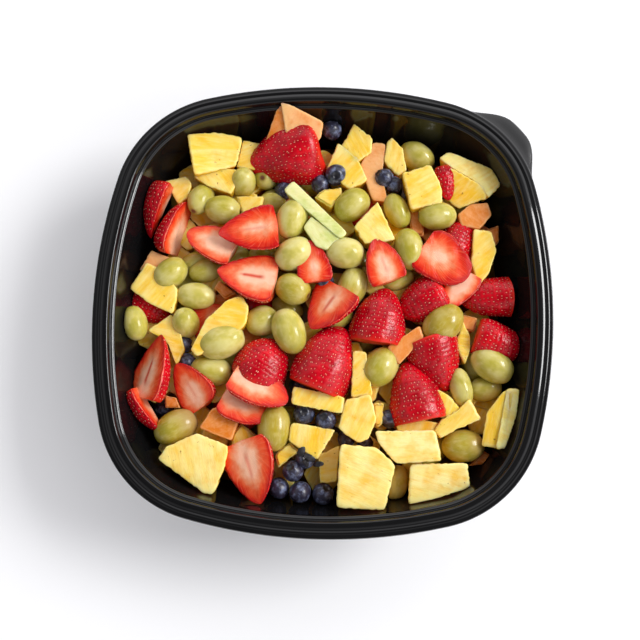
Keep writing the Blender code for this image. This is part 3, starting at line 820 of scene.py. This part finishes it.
def strawberrySurface(spec, number, stations=52, arcSteps=38, flatSteps=20):
    # sections carried from the hull end to the tip, closed by a flat disc at the hull end;
    # seeds lie in dimples
    shape = strawberryShape
    seed = firstSeed["strawberry"] + number
    rng = np.random.default_rng(seed)
    turn = math.pi / 2 if spec.get("quarter", False) else math.pi
    section = sectionRound(turn, arcSteps, flatSteps)
    share = 1 - (1 - np.linspace(0, 1, stations)) ** 1.25
    radius = strawberryWidth(share, spec)
    endRings = np.array(shape["endRings"])
    ends = len(endRings)
    share = np.concatenate([np.zeros(ends), share])
    radius = np.concatenate([endRings * radius[0], radius])
    across = shape["halfWidth"] * spec["wide"]
    x = (share - shape["middle"]) * spec["long"]
    x[:ends] -= 0.5 * (1 - endRings)
    y = radius[:, None] * section[None, :, 0] * across
    z = radius[:, None] * section[None, :, 1] * across * shape["squat"]
    points = np.stack([x[:, None] + 0 * y, y, z], -1) * mm
    flat = section[None, :, 2] + 0 * y
    flat[:ends] = 1
    skin = 1 - flat
    cutAcross = section[None, :, 3] + 0 * y
    cutAcross[:ends] = endRings[:, None] * 0.75
    points = uneven(points, shape, seed)
    points[..., 2] += flat * 0.25 * mm * lumps(points, 9 * mm, seed + 1)
    # outward directions of the skin
    lean = 0 * y + shape["lean"] * share[:, None]
    outward = np.stack([lean, section[None, :, 0] + 0 * y, section[None, :, 1] + 0 * y], -1)
    outward /= np.linalg.norm(outward, axis=-1, keepdims=True)
    seeds, seedOut = seedPlaces(spec, turn, seed, rng)
    apart = np.linalg.norm(points[:, :, None] - seeds[None, None], axis=-1).min(-1) / mm
    dimple = np.exp(-((apart / shape["dimpleWide"]) ** 2)) * skin
    swell = np.clip((apart - 0.7) / 1.0, 0, 1) * skin
    points = points + outward * ((shape["swell"] * swell - shape["dimpleDeep"] * dimple) * mm)[..., None]
    turning = turned(spec["aim"], spec.get("pitch", 0), spec["roll"]).T
    moved = settle(np.concatenate([points.reshape(-1, 3), seeds]) @ turning, spec)
    fields = {
        "place": points / mm + patternStep["strawberry"] * number,
        "tone": spec.get("tone", float(rng.uniform(0, 1))),
        "cut": np.stack([cutAcross, share[:, None] + 0 * y, flat], -1),
        # dimple also masks the painted shade in the skin's colour
        "dimple": dimple,
        "slit": spec.get("slit", float(rng.uniform(0, 0.7))),
    }
    surface = {"points": moved[:-len(seeds)].reshape(points.shape), "fields": fields}
    return surface, moved[-len(seeds):], seedOut @ turning, turning[0]


def seedSurfaces(centres, outward, axis, rng):
    # each seed is a flat drop: a small ring grid along the berry's axis
    shape = strawberryShape
    u = np.linspace(0, math.pi, 5)[:, None]
    v = np.linspace(0, 2 * math.pi, 6, endpoint=False)[None]
    long, wide, deep = shape["seedHalf"]
    along, side, up = np.cos(u) * long + 0 * v, np.sin(u) * np.cos(v) * wide, np.sin(u) * np.sin(v) * deep
    found = []
    for centre, out in zip(centres, outward):
        one = axis - out * (axis @ out)
        one = one / np.linalg.norm(one)
        two = np.cross(out, one)
        size = rng.uniform(0.85, 1.15) * mm
        points = along[..., None] * one + side[..., None] * two + up[..., None] * out
        points = centre - out * shape["seedSink"] * mm + points * size
        found.append({"points": points, "fields": {"tone": rng.uniform(0, 1), "place": points / mm}})
    return found


chunkShape = {
    "samples": 88,
    "hiddenSamples": 36,
    "wornEdge": 1.2 * mm,  # how far in the worn rim of a cut face reaches
    "edgeLumps": (5 * mm, 2.2 * mm),
    "faceLumps": (9 * mm, 3.5 * mm),
    "sideLumps": 8 * mm,
}


def chunkSurface(spec, number, ragged, samples=chunkShape["samples"]):
    # the top face's outline, evenly sampled and softened, carried inward over the face and
    # down the sides
    shape = chunkShape
    seed = firstSeed["chunk"] + number
    rng = np.random.default_rng(seed)
    tilt, toward = math.radians(spec.get("tilt", 0)), math.radians(spec.get("toward", 0))
    lean = math.sin(tilt)
    normal = np.array([lean * math.cos(toward), lean * math.sin(toward), math.cos(tilt)])
    if "place" in spec:
        middle = np.array(spec["place"])
        corners = middle + np.array(spec["spread"])
    else:
        pixels = np.reshape(spec["corners"], (-1, 2))
        middle = onHeap(np.mean(pixels, 0), spec["lift"] * mm)
        corners = onPlane(pixels, middle, normal)
    closed = np.concatenate([corners, corners[:1]])
    walk = np.concatenate([[0], np.cumsum(np.linalg.norm(np.diff(closed, axis=0), axis=1))])
    at = np.linspace(0, walk[-1], samples, endpoint=False)
    edge = np.stack([np.interp(at, walk, closed[:, i]) for i in range(3)], 1)
    for _ in range(3):
        edge = 0.5 * edge + 0.25 * (np.roll(edge, 1, 0) + np.roll(edge, -1, 0))
    reach = np.linalg.norm(edge - middle, axis=1, keepdims=True)
    away = (edge - middle) / reach
    coarse, fine = shape["edgeLumps"]
    rough = lumps(edge, coarse, seed) + 0.6 * lumps(edge, fine, seed + 1)
    edge = edge + away * (rough * ragged - 0.3 * ragged)[:, None] * mm
    worn = shape["wornEdge"] / reach.mean()
    thick = spec["thick"]
    # rings: share of the way out, depth, worn share, side share
    rings = np.array(
        [(s, 0, 0, 0) for s in (0, 0.2, 0.4, 0.58, 0.74, 0.86)]
        + [(1 - worn, 0.02, 0.6, 0), (1 - 0.3 * worn, 0.25, 1, 0.1), (1, 0.8, 0.5, 0.6), (1.0, 1.6, 0, 1)]
        + [(1 - 0.1 * d, 1.2 + d * (thick - 2.2), 0, 1) for d in (0.2, 0.4, 0.6, 0.8, 1)]
        + [(s, thick, 0, 1) for s in (0.8, 0.4, 0)]
    )
    out, depth, wear, side = [column[:, None] for column in rings.T]
    points = middle + (edge - middle)[None] * out[..., None] - normal * (depth[..., None] * mm)
    coarse, fine = shape["faceLumps"]
    swell = lumps(points, coarse, seed + 2) * 0.35 + lumps(points, fine, seed + 3) * 0.16
    points = points + normal * (swell * ragged * (1 - side) * mm)[..., None]
    bulge = lumps(points, shape["sideLumps"], seed + 4) * ragged * 0.5 * side * mm
    points = points + away[None] * bulge[..., None]
    grain = turned(rng.uniform(0, 180), rng.uniform(-10, 10), rng.uniform(-10, 10))
    fields = {
        "place": (points - middle) / mm @ grain + patternStep["chunk"] * number,
        "tone": spec.get("tone", float(rng.uniform(0.15, 0.85))),
        "worn": wear + np.zeros((1, samples)),
        # the side share also masks the painted shade on the sides in the colour
        "side": side + np.zeros((1, samples)),
    }
    return {"points": pressIn(points), "fields": fields}


driedShape = {
    "thin": 0.16,
    "twist": 90,  # radians in a metre
    "bend": 60,
}


def flakeSurface(spec, number, rows=16, cols=12):
    # a dried scrap of leaf: a thin oval, bent along its length and twisted about it
    points = ovalGrid(rows, cols, spec["long"], spec["wide"], 1)[0]
    x, y, z = np.moveaxis(points, -1, 0)
    twist = driedShape["twist"] * x
    thin = driedShape["thin"]
    y, z = y * np.cos(twist) - thin * z * np.sin(twist), y * np.sin(twist) + thin * z * np.cos(twist)
    z = z - driedShape["bend"] * x**2
    crumpled = 0.25 * mm * lumps(points, 3 * mm, firstSeed["dried"] + number)[..., None]
    points = np.stack([x, y, z], -1) + crumpled
    settled = settle(points @ turned(spec["aim"], spec["pitch"]).T, spec)
    return {"points": settled, "fields": {"place": points / mm + patternStep["dried"] * number}}


def table(keys, rows):
    # a dictionary for each row; a short row leaves out the last keys
    return [dict(zip(keys.split(), row)) for row in rows]


# every piece that shows: pixels of the photograph, millimetres, degrees;
# lift is the height of its top over the heap's general height
grapes = table("at long wide aim lift tone pitch scar brown", (
    ((243, 183), 24, 18.5, 60, 4, 0.3, 62, 0, 0),
    ((266, 178), 24, 17.5, 250, -4, 0.4, 68, 1, 0),
    ((201, 199), 25, 17.5, 250, 3, 0.5, 22, 1, 0),
    ((223, 210), 25, 20, -8, 5, 0.55, 0, 0, 0),
    ((171, 273), 25, 20, 42, 5, 0.4, 0, 0, 0),
    ((205, 271), 23, 17.5, 10, -5, 0.5, 0, 0, 0),
    ((196, 296), 27, 18.5, -5, 1, 0.1, 0, 0, 0),
    ((186, 323), 24, 18.5, 95, 3, 0.3, 55, 0, 0),
    ((222, 342), 32, 22.5, 20, 8, 0.2, 0, 0, 0),
    ((211, 371), 28.5, 21, -5, 0, 0.35, 0, 0, 0),
    ((135, 323), 24, 17, 105, 7, 0.3, 0, 0, 0),
    ((176, 427), 31, 22, 30, 3, 0.75, 0, 0, 0.6),
    ((274, 428), 31, 22, 88, 7, 0.9, 0, 0, 0),
    ((352, 205), 27, 21.5, 40, 5, 0.5, 0, 0, 0),
    ((292, 219), 28.5, 21.5, 70, 9, 0.3, 0, 0, 0),
    ((294, 254), 27.5, 22, 32, 8, 0.1, 0, 0, 0),
    ((293, 289), 25, 21.5, -25, 5, 0.7, 12, 1, 0),
    ((289, 331), 32, 22, 112, 7, 0.35, 0, 0, 0),
    ((262, 321), 23.5, 21, 20, -1, 0.3, 0, 0, 0),
    ((345, 253), 27.5, 21.5, -5, 7, 0.1, 0, 0, 0),
    ((352, 287), 28, 21, 72, 0, 0.4, 0, 0, 0),
    ((398, 280), 24, 14, 20, -6, 0.4, 0, 0, 0),
    ((340, 318), 20, 14, 40, -6, 0.4, 0, 0, 0),
    ((397, 211), 26, 16.5, -65, 2, 0.45, 0, 0, 0),
    ((417, 157), 27, 20, -35, 1, 0.3, 0, 0, 0),
    ((437, 216), 26.5, 19.5, 182, 7, 0.4, 4, 0.7, 0),
    ((409, 249), 29, 20, 100, 8, 0.55, 0, 0, 0),
    ((443, 324), 31, 23.5, 45, 8, 0.9, 0, 0, 0),
    ((380, 367), 28.5, 23.5, 235, 5, 0.55, 10, 1, 0),
    ((492, 365), 30.5, 22, -30, 7, 0.35, 0, 0, 0),
    ((485, 389), 23, 17, 10, -4, 0.3, 0, 0, 0),
    ((461, 388), 27, 15, 103, 1, 0.4, 0, 0, 0),
    ((463, 446), 28, 21.5, 5, 3, 0.8, 0, 0, 0.5),
    ((397, 483), 24, 15, 80, -5, 0.3, 0, 0, 0),
    ((272, 203), 20, 15, 0, -7, 0.3, 0, 0, 0),
    ((196, 262), 20, 14, 10, -7, 0.5, 0, 0, 0),
))
blueberries = table("at wide lift aim pitch", (
    ((332, 130), 14.5, 5, 40, 20),
    ((336, 175), 15, 4, -90, 66),
    ((320, 184), 13, -1, 10, -40),
    ((284, 191), 13.5, -6, 10, -40),
    ((384, 178), 13.5, 3, 150, 35),
    ((394, 185), 12, 0, 10, -40),
    ((304, 414), 14, 2, 90, 78),
    ((326, 420), 14, 3, 130, 66),
    ((293, 471), 14, 2, 120, 60),
    ((279, 488), 14, -2, 200, -30),
    ((300, 492), 14.5, 1, -60, -20),
    ((323, 494), 14.5, -1, 60, 45),
    ((305, 459), 13, 1, 30, 80),
    ((346, 439), 12, -5, 0, 30),
    ((365, 443), 11, -6, 0, 30),
    ((325, 282), 12.5, -4, 90, 30),
    ((389, 419), 12.5, -3, 200, 20),
    ((184, 344), 12, -6, 0, 0),
    ((187, 362), 12.5, -6, 0, 0),
))
strawberries = table("at long wide aim roll pitch lift blunt tuck slit tone quarter", (
    ((164, 212), 38, 36, -111, -93, 0, 12, 0.4, 0.2, 0, 0.4, True),
    ((180, 230), 39, 35, 76, 77, 10, 9, 0.3, 0.45, 0, 0.8, False),
    ((212, 241), 34, 26, 160, 12, 0, 4, 0.8, 0.2, 0, 1, False),
    ((250, 229), 39, 33, 190, 0, 0, 8, 0, 0.18, 0.4, 0.35, False),
    ((249, 275), 39, 37, 172, 16, 0, 7, 0, 0.18, 1, 0.8, False),
    ((152, 309), 30, 24, -30, 180, 0, -5, 0.4, 0.2, 0, 0.4, False),
    ((150, 368), 43, 34, 75, -38, 0, 11, 0.1, 0.2, 1, 0.75, False),
    ((152, 408), 34, 30, -58, -76, 0, 8, 0.3, 0.2, 0, 0.7, True),
    ((190, 387), 33, 30, 125, -26, 0, 3, 0.3, 0.4, 0.3, 0.7, False),
    ((264, 364), 33, 37, 62, 180, 0, 7, 1, 0.2, 0, 0.4, False),
    ((259, 386), 40, 28, -27, -24, 0, 10, 0.8, 0.3, 0, 0.75, False),
    ((246, 404), 35, 28, -22, -20, 0, 4, 0.8, 0.3, 0.3, 0.7, False),
    ((250, 470), 42, 38, -70, 18, 0, 9, 0, 0.3, 0.5, 0.75, False),
    ((286, 157), 53, 54, 197, 180, 0, 15, 0, 0.4, 0, 0.4, False),
    ((445, 183), 24, 15, -80, 160, 0, 6, 0.8, 0.3, 0, 0.4, False),
    ((456, 242), 31, 27, 60, 180, 0, 3, 0.6, 0.2, 0, 0.4, False),
    ((444, 260), 37, 34, -35, 0, 0, 6, 1, 0.3, 0, 0.45, False),
    ((383, 261), 31, 27, 110, 0, 0, 4, 0.3, 0.18, 0.3, 0.65, False),
    ((458, 289), 31, 24, -120, 0, 0, 2, 0, 0.18, 0, 1, False),
    ((486, 298), 34, 28, 184, 180, 0, 6, 0.5, 0.05, 0, 0.4, False),
    ((497, 343), 33, 28, -18, 180, 0, 7, 1, 0.2, 0, 0.4, False),
    ((422, 302), 33, 33, -150, 180, 0, 5, 0.4, 0.2, 0, 0.4, False),
    ((380, 318), 40, 38, 80, 180, 0, 8, 0.4, 0.1, 0, 0.4, False),
    ((327, 361), 46, 42, 68, 180, 0, 10, 0.7, 0.15, 0, 0.4, False),
    ((436, 363), 37, 39, -70, 175, 0, 7, 0, 0.1, 0, 0.4, False),
    ((414, 394), 40, 38, 104, 180, 0, 8, 0.3, 0.1, 0, 0.4, False),
    ((327, 306), 35, 35, -124, 25, 0, 7, 0, 0.18, 0.8, 0.45, False),
    ((313, 262), 28, 24, 100, 0, 0, 2, 0.3, 0.18, 0.2, 0.3, False),
))
chunkKeys = "corners lift thick tone tilt toward"  # corners: x and y of each in turn
pineapple = {
    "ragged": 0.32,
    "tones": (srgb(242, 184, 26), srgb(250, 207, 78), srgb(252, 229, 152)),
    # side: deeper yellow for dark fibres and clouds, and painted shade on the chunks' sides
    "side": srgb(241, 182, 24),
    "rim": srgb(254, 238, 176),
    "streak": (0.1, 0.55, 0.45),
    "contrast": 0.36,
    "relief": 0.4 * mm,
    "scatter": 0.55,
    "specks": 0.8,
}
pineapple["rows"] = table(chunkKeys, (
    ((187, 134, 216, 132, 243, 137, 237, 166, 194, 175), 5, 19, 0.5, 14, 0),
    ((193, 176, 206, 168, 237, 169, 238, 182, 231, 194, 206, 185), 0, 19, 0.5, 0, 0),
    ((164, 181, 185, 176, 192, 183, 188, 198, 178, 204), -3, 19, 0.35, 0, 0),
    ((243, 140, 263, 143, 256, 170, 236, 167), -2, 19, 0.3, 0, 0),
    ((129, 288, 146, 262, 164, 270, 178, 290, 173, 314, 150, 304), 0, 15, 0.5, 0, 0),
    ((190, 350, 205, 320, 226, 300, 241, 295, 249, 306, 246, 325, 197, 357), 3, 16, 0.4, 0, 0),
    ((147, 330, 171, 314, 180, 328, 184, 350, 176, 366, 167, 342), -4, 19, 0.3, 0, 0),
    ((231, 436, 241, 423, 258, 437, 246, 450, 232, 451), -6, 19, 0.2, 0, 0),
    ((157, 459, 165, 447, 196, 433, 229, 446, 224, 468, 214, 495, 204, 494), 4, 17, 0.75, 0, 0),
    ((354, 123, 373, 138, 372, 152, 356, 163, 341, 146), 1, 19, 0.5, 0, 0),
    ((338, 142, 358, 158, 368, 180, 350, 190, 326, 170), 0, 19, 0.4, 0, 0),
    ((387, 141, 392, 137, 403, 148, 407, 170, 398, 176, 384, 162), 0, 19, 0.6, 0, 0),
    ((314, 197, 322, 190, 341, 187, 342, 195, 331, 208), -2, 19, 0.5, 0, 0),
    ((236, 196, 264, 196, 262, 212, 242, 216), -5, 19, 0.6, 0, 0),
    ((378, 201, 396, 240, 364, 243, 354, 226), 4, 19, 0.7, 0, 0),
    ((402, 173, 431, 164, 441, 185, 443, 203, 411, 209), 6, 19, 0.5, 0, 0),
    ((439, 158, 448, 151, 499, 171, 501, 184, 489, 198, 482, 186, 466, 176, 452, 168), 4, 17, 0.85, 0, 0),
    ((442, 166, 452, 168, 468, 177, 484, 187, 488, 198, 458, 209, 445, 198), 2.5, 17, 0.25, 16, -110),
    ((474, 228, 492, 231, 497, 250, 490, 272, 478, 287, 471, 262), 1, 16, 0.4, 0, 0),
    ((463, 320, 471, 338, 470, 352, 465, 365, 455, 345), -4, 19, 0.4, 0, 0),
    ((436, 388, 450, 396, 462, 410, 452, 420, 440, 418), -1, 19, 0.5, 0, 0),
    ((441, 420, 458, 410, 470, 398, 482, 419, 456, 430, 440, 439, 434, 430), 1, 19, 0.6, 0, 0),
    ((395, 414, 445, 424, 438, 434, 398, 432), -2, 19, 0.5, 0, 0),
    ((374, 431, 436, 430, 442, 461, 396, 464, 380, 445), 5, 19, 0.95, 0, 0),
    ((340, 444, 376, 447, 396, 465, 385, 511, 336, 508), 8, 20, 0.8, 0, 0),
    ((410, 464, 468, 463, 471, 488, 440, 498, 408, 505), 5, 17, 0.85, 0, 0),
    ((504, 390, 514, 391, 503, 449, 481, 446, 487, 412), 7.7, 20, 0.3, 14, 180),
    ((507, 388, 520, 389, 517, 415, 505, 450, 496, 449, 502, 415), 10, 21, 0.8, 0, 0),
    ((346, 399, 371, 394, 377, 420, 368, 440, 357, 443, 338, 428), 3, 19, 0.35, 0, 0),
    ((353, 350, 366, 351, 373, 396, 351, 398), 0, 19, 0.25, 0, 0),
    ((293, 386, 345, 397, 343, 414, 291, 404), 2, 14, 0.55, 0, 0),
    ((291, 422, 336, 430, 317, 460, 288, 441), 1, 19, 0.4, 0, 0),
    ((275, 455, 289, 442, 300, 451, 278, 468), -2, 19, 0.5, 0, 0),
    ((318, 455, 340, 445, 337, 482, 320, 484), -6, 19, 0.2, 0, 0),
    ((374, 403, 384, 403, 382, 425, 376, 428), -4, 19, 0.3, 0, 0),
))
cantaloupe = {
    "ragged": 0.16,
    "tones": (srgb(196, 94, 12), srgb(224, 132, 48), srgb(242, 184, 124)),
    # side: deeper orange for dark fibres and clouds, and painted shade on the chunks' sides
    "side": srgb(222, 122, 22),
    "rim": srgb(248, 200, 146),
    "streak": (0.6, 1, 1),
    "contrast": 0.2,
    "relief": 0.2 * mm,
    "scatter": 0.35,
}
cantaloupe["rows"] = table(chunkKeys, (
    ((139, 270, 151, 250, 171, 258, 164, 276), -3, 14, 0.9, 0, 0),
    ((214, 288, 219, 280, 236, 293, 225, 299), -5, 19, 0.3, 0, 0),
    ((164, 395, 176, 398, 180, 408, 165, 408), -7, 14, 0.2, 0, 0),
    ((199, 428, 211, 409, 223, 404, 239, 421, 231, 441), -1, 19, 0.4, 0, 0),
    ((280, 99, 324, 122, 321, 139, 302, 152, 287, 152, 284, 122), 11, 20, 0.95, 28, -75),
    ((280, 99, 289, 120, 291, 152, 275, 150, 264, 145), 9.5, 20, 0.45, 28, -100),
    ((373, 142, 386, 143, 382, 175, 388, 202, 372, 200, 360, 165), -2, 19, 0.85, 0, 0),
    ((458, 214, 470, 204, 488, 202, 492, 215, 480, 229, 461, 226), -1, 16, 0.55, 0, 0),
    ((487, 229, 499, 225, 499, 242, 492, 250), -7, 12, 0.3, 0, 0),
    ((408, 208, 424, 210, 424, 236, 412, 236), -6, 19, 0.3, 0, 0),
    ((461, 314, 478, 318, 474, 332, 464, 330), -6, 19, 0.6, 0, 0),
    ((387, 347, 420, 325, 424, 337, 399, 365), 0, 19, 0.55, 0, 0),
    ((469, 466, 485, 451, 493, 457, 488, 464), -7, 12, 0.2, 0, 0),
))
driedBits = table("at long wide aim lift pitch", (
    ((301, 452), 8, 4.5, 60, 6, 10),
    ((310, 458), 9, 4, -30, 6, -10),
    ((318, 464), 7.5, 3.5, 5, 5, 20),
    ((306, 463), 6, 3.5, 110, 5, 0),
))
honeydew = {
    "ragged": 0.12,
    "tones": (srgb(208, 206, 124), srgb(226, 221, 152), srgb(236, 230, 178)),
    # side: deeper green for dark fibres and clouds, and painted shade on the sticks' sides
    "side": srgb(186, 198, 92),
    "rim": srgb(234, 236, 182),
    "streak": (0.3, 1, 1),
    "contrast": 0.35,
    "relief": 0.2 * mm,
    "scatter": 0.35,
}
honeydew["rows"] = table(chunkKeys, (
    ((283, 190, 293, 180, 348, 233, 340, 239), 6, 11, 0.6, 0, 0),
    ((303, 227, 311, 216, 341, 238, 326, 250, 316, 246), 4, 11, 0.4, 0, 0),
))


# the lower layer of fruit that shows only in the gaps; bare lengths are in millimetres
filler = {
    "seed": 7,
    "firstNumber": 40,
    "columns": 6,
    "rows": 7,
    "columnGap": 21,
    "rowGap": 18.5,
    "shake": 4,
    "fromWall": 31 * mm,
    "strawberriesFromWall": 60 * mm,
    "below": 11 * mm,
    "drop": 6,
    "kinds": ("pineapple", "cantaloupe", "strawberry", "grape", "blueberry"),
    "chances": (0.48, 0.14, 0.05, 0.25, 0.08),
    "chunkReach": 14,
    "chunkThick": 16,
    "strawberry": (34, 30),
    "grape": (27, 20),
    "blueberry": 14,
}


def fillerSpots(rng):
    # a staggered lattice inside the wall, shaken; each place gets a depth and a kind
    columns, rows = filler["columns"], filler["rows"]
    i, j = np.meshgrid(np.arange(-columns, columns + 1), np.arange(-rows, rows + 1))
    lattice = np.stack([(i + 0.5 * (j % 2)) * filler["columnGap"], j * filler["rowGap"]], -1).reshape(-1, 2)
    spots = (lattice + rng.uniform(-filler["shake"], filler["shake"], lattice.shape)) * mm
    spots = spots[insetOf(spots) > filler["fromWall"]]
    drop = rng.uniform(0, filler["drop"], len(spots)) * mm
    height = heapHeight(spots[:, 0], spots[:, 1]) - filler["below"] - drop
    kinds = rng.choice(filler["kinds"], len(spots), p=filler["chances"])
    kinds[(kinds == "strawberry") & (insetOf(spots) < filler["strawberriesFromWall"])] = "pineapple"
    return np.concatenate([spots, height[:, None]], 1), kinds


def fillerSurface(kind, spot, number, rng):
    # one piece of the lower layer, with fewer faces
    turn, size = rng.uniform(0, 360), rng.uniform(0.85, 1.1)
    spec = {"place": spot, "aim": turn}
    if kind in ("pineapple", "cantaloupe"):
        angles = np.radians(turn + np.array([0, 90, 180, 270]) + rng.uniform(-14, 14, 4))
        reach = filler["chunkReach"] * size * mm * rng.uniform(0.85, 1.15, 4)
        spec["spread"] = np.stack([np.cos(angles) * reach, np.sin(angles) * reach, 0 * angles], 1)
        spec["thick"] = filler["chunkThick"]
        spec["tone"] = float(rng.uniform(0.1, 0.5))
        return chunkSurface(spec, number, cutFruits[kind]["ragged"], chunkShape["hiddenSamples"])
    if kind == "blueberry":
        return berrySurface({"place": spot, "wide": filler["blueberry"] * size}, number, rows=18, cols=20)
    spec["long"], spec["wide"] = [side * size for side in filler[kind]]
    if kind == "grape":
        return grapeSurface(spec, number, rows=18, cols=16)
    spec["roll"] = 180 * rng.integers(0, 2)
    return strawberrySurface(spec, number, stations=26, arcSteps=20, flatSteps=12)[0]


cutFruits = {"pineapple": pineapple, "cantaloupe": cantaloupe, "honeydew": honeydew}


def makeFruit():
    surfaces = {
        "pineapple": [],
        "cantaloupe": [],
        "honeydew": [],
        "strawberry": [],
        "grape": [grapeSurface(spec, number) for number, spec in enumerate(grapes)],
        "blueberry": [berrySurface(spec, number) for number, spec in enumerate(blueberries)],
        "dried": [flakeSurface(spec, number) for number, spec in enumerate(driedBits)],
    }
    seeds = []
    seedDraw = np.random.default_rng(strawberryShape["seedDraw"])
    for number, spec in enumerate(strawberries):
        surface, *places = strawberrySurface(spec, number)
        surfaces["strawberry"].append(surface)
        seeds.extend(seedSurfaces(*places, seedDraw))
    for name, kind in cutFruits.items():
        for number, spec in enumerate(kind["rows"]):
            surfaces[name].append(chunkSurface(spec, number, kind["ragged"]))
    rng = np.random.default_rng(filler["seed"])
    for number, (spot, kind) in enumerate(zip(*fillerSpots(rng)), filler["firstNumber"]):
        surfaces[kind].append(fillerSurface(kind, spot, number, rng))
    finishes = {
        "pineapple": ("pineappleChunks", pulp("pineappleFlesh", pulpLook | pineapple)),
        "cantaloupe": ("cantaloupeChunks", pulp("cantaloupeFlesh", pulpLook | cantaloupe)),
        "honeydew": ("honeydewSticks", pulp("honeydewFlesh", pulpLook | honeydew)),
        "strawberry": ("cutStrawberries", strawberryFlesh()),
        "grape": ("greenGrapes", grapeSkin()),
        "blueberry": ("blueberries", berrySkin()),
        "dried": ("driedLeafBits", driedLeaf()),
    }
    for kind, (name, finish) in finishes.items():
        sharp = strawberryShape["sharp"] if kind == "strawberry" else None
        made = joinSurfaces(name, surfaces[kind], finish, sharp)
        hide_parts("fruit_heap")
    made = joinSurfaces("strawberrySeeds", seeds, seedShell())
    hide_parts("fruit_heap")


core = {
    "below": 24 * mm,
    "levels": 10,
    "sideSteps": 4,
    "cornerSteps": 8,
    "underBrim": 4 * mm,
    "overFloor": 0.7 * mm,
    "fromWall": 0.8 * mm,
}


def makeCore():
    # the heap under its loose pieces: the wall's outline carried up to a low mound
    points, outward = outline(core["sideSteps"], core["cornerSteps"])
    inset, z = [column[::-1] for column in wallProfile(core["levels"])]
    brim = heap["atWall"] - core["below"]
    atBrim = np.interp(brim, z, inset)
    keep = z < brim - core["underBrim"]
    z = np.append(np.maximum(z[keep], bowl["floorTop"] + core["overFloor"]), brim)
    inset = np.append(inset[keep], atBrim)
    plan = points[None] - outward[None] * (inset + core["fromWall"])[:, None, None]
    wall = np.concatenate([plan, np.broadcast_to(z[:, None, None], plan.shape[:2] + (1,))], 2)
    top = plan[-1][None] * np.array([0.86, 0.7, 0.5, 0.28, 0])[:, None, None]
    height = heapHeight(top[..., 0], top[..., 1]) - core["below"]
    top = np.concatenate([top, height[..., None]], 2)
    bottom = wall[:1] * np.array([[[0, 0, 1]], [[0.5, 0.5, 1]]])
    rings = np.concatenate([bottom, wall, top])
    made = joinSurfaces("heapCore", [{"points": rings, "fields": {}}], shadedFruit())
    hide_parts("fruit_heap")


room = {
    "floorSize": 12.0,
    "floorColour": (0.93, 0.93, 0.94),
    "floorRoughness": 0.9,
    "skyColour": (0.98, 0.975, 1.0),
    "sky": 1.66,
    "skyOverhead": 0.13,
    "ceiling": (0.70, 0.94),
    "skyDark": 0.38,
    "darkSide": (0.9, 0.4),  # shares of right and back in the way to the bright side
    "darkFrom": (-0.4, 0.2),
    "softboxPlace": (1.75, 0.5, 1.65),
    "softboxAim": (0, 0, 0.08),
    "softboxSize": (1.0, 0.7),
    "softboxPower": 40,
}


def standing(turn, place):
    # a matrix from a rotation and a place
    pose = np.eye(4)
    pose[:3, :3] = turn
    pose[:3, 3] = place
    return mathutils.Matrix(pose)


def makeStage():
    mesh = bpy.data.meshes.new("floor")
    half = room["floorSize"] / 2
    corners = [(-half, -half, 0), (half, -half, 0), (half, half, 0), (-half, half, 0)]
    mesh.from_pydata(corners, [], [(0, 1, 2, 3)])
    made, tree, shader = newMaterial("paleFloor")
    shader.inputs["Base Color"].default_value = (*room["floorColour"], 1)
    shader.inputs["Roughness"].default_value = room["floorRoughness"]
    mesh.materials.append(made)
    floor = newObject("floor", mesh)
    light = bpy.data.lights.new("softbox", "AREA")
    light.shape = "RECTANGLE"
    light.size, light.size_y = room["softboxSize"]
    light.energy = room["softboxPower"]
    lamp = newObject("softbox", light)
    place = np.array(room["softboxPlace"])
    back = place - np.array(room["softboxAim"])
    back /= np.linalg.norm(back)
    side = np.cross([0, 0, 1.0], back)
    side /= np.linalg.norm(side)
    lamp.matrix_world = standing(np.stack([side, np.cross(back, side), back], 1), place)
    world = bpy.data.worlds.new("studio")
    world.use_nodes = True
    sky = world.node_tree
    sky.nodes["Background"].inputs[0].default_value = (*room["skyColour"], 1)
    # bright walls round a dark ceiling, darker on the left and in front
    put(sky, "ShaderNodeTexCoord")
    put(sky, "ShaderNodeSeparateXYZ", {0: sky.nodes[-1].outputs["Generated"]})
    across, away, upward = sky.nodes[-1].outputs
    toRight, toBack = room["darkSide"]
    toLight = plus(sky, times(sky, across, toRight), times(sky, away, toBack))
    dimmed = spread(sky, toLight, *room["darkFrom"], room["skyDark"], 1)
    strength = spread(sky, upward, *room["ceiling"], room["sky"], room["skyOverhead"])
    sky.links.new(times(sky, strength, dimmed), sky.nodes["Background"].inputs[1])
    bpy.context.scene.world = world
    bpy.context.scene.view_settings.view_transform = "Standard"


def makeCamera():
    lens = bpy.data.cameras.new("camera")
    lens.sensor_width = view["sensor"]
    lens.lens = view["focal"] * view["sensor"] / (2 * view["centre"])
    lens.clip_start = 0.01
    camera = newObject("camera", lens)
    camera.matrix_world = standing(cameraBack, cameraPlace)
    bpy.context.scene.camera = camera


print("bowl")
makeBowl()
print("fruit")
makeFruit()
makeCore()
print("stage and camera")
makeStage()
makeCamera()
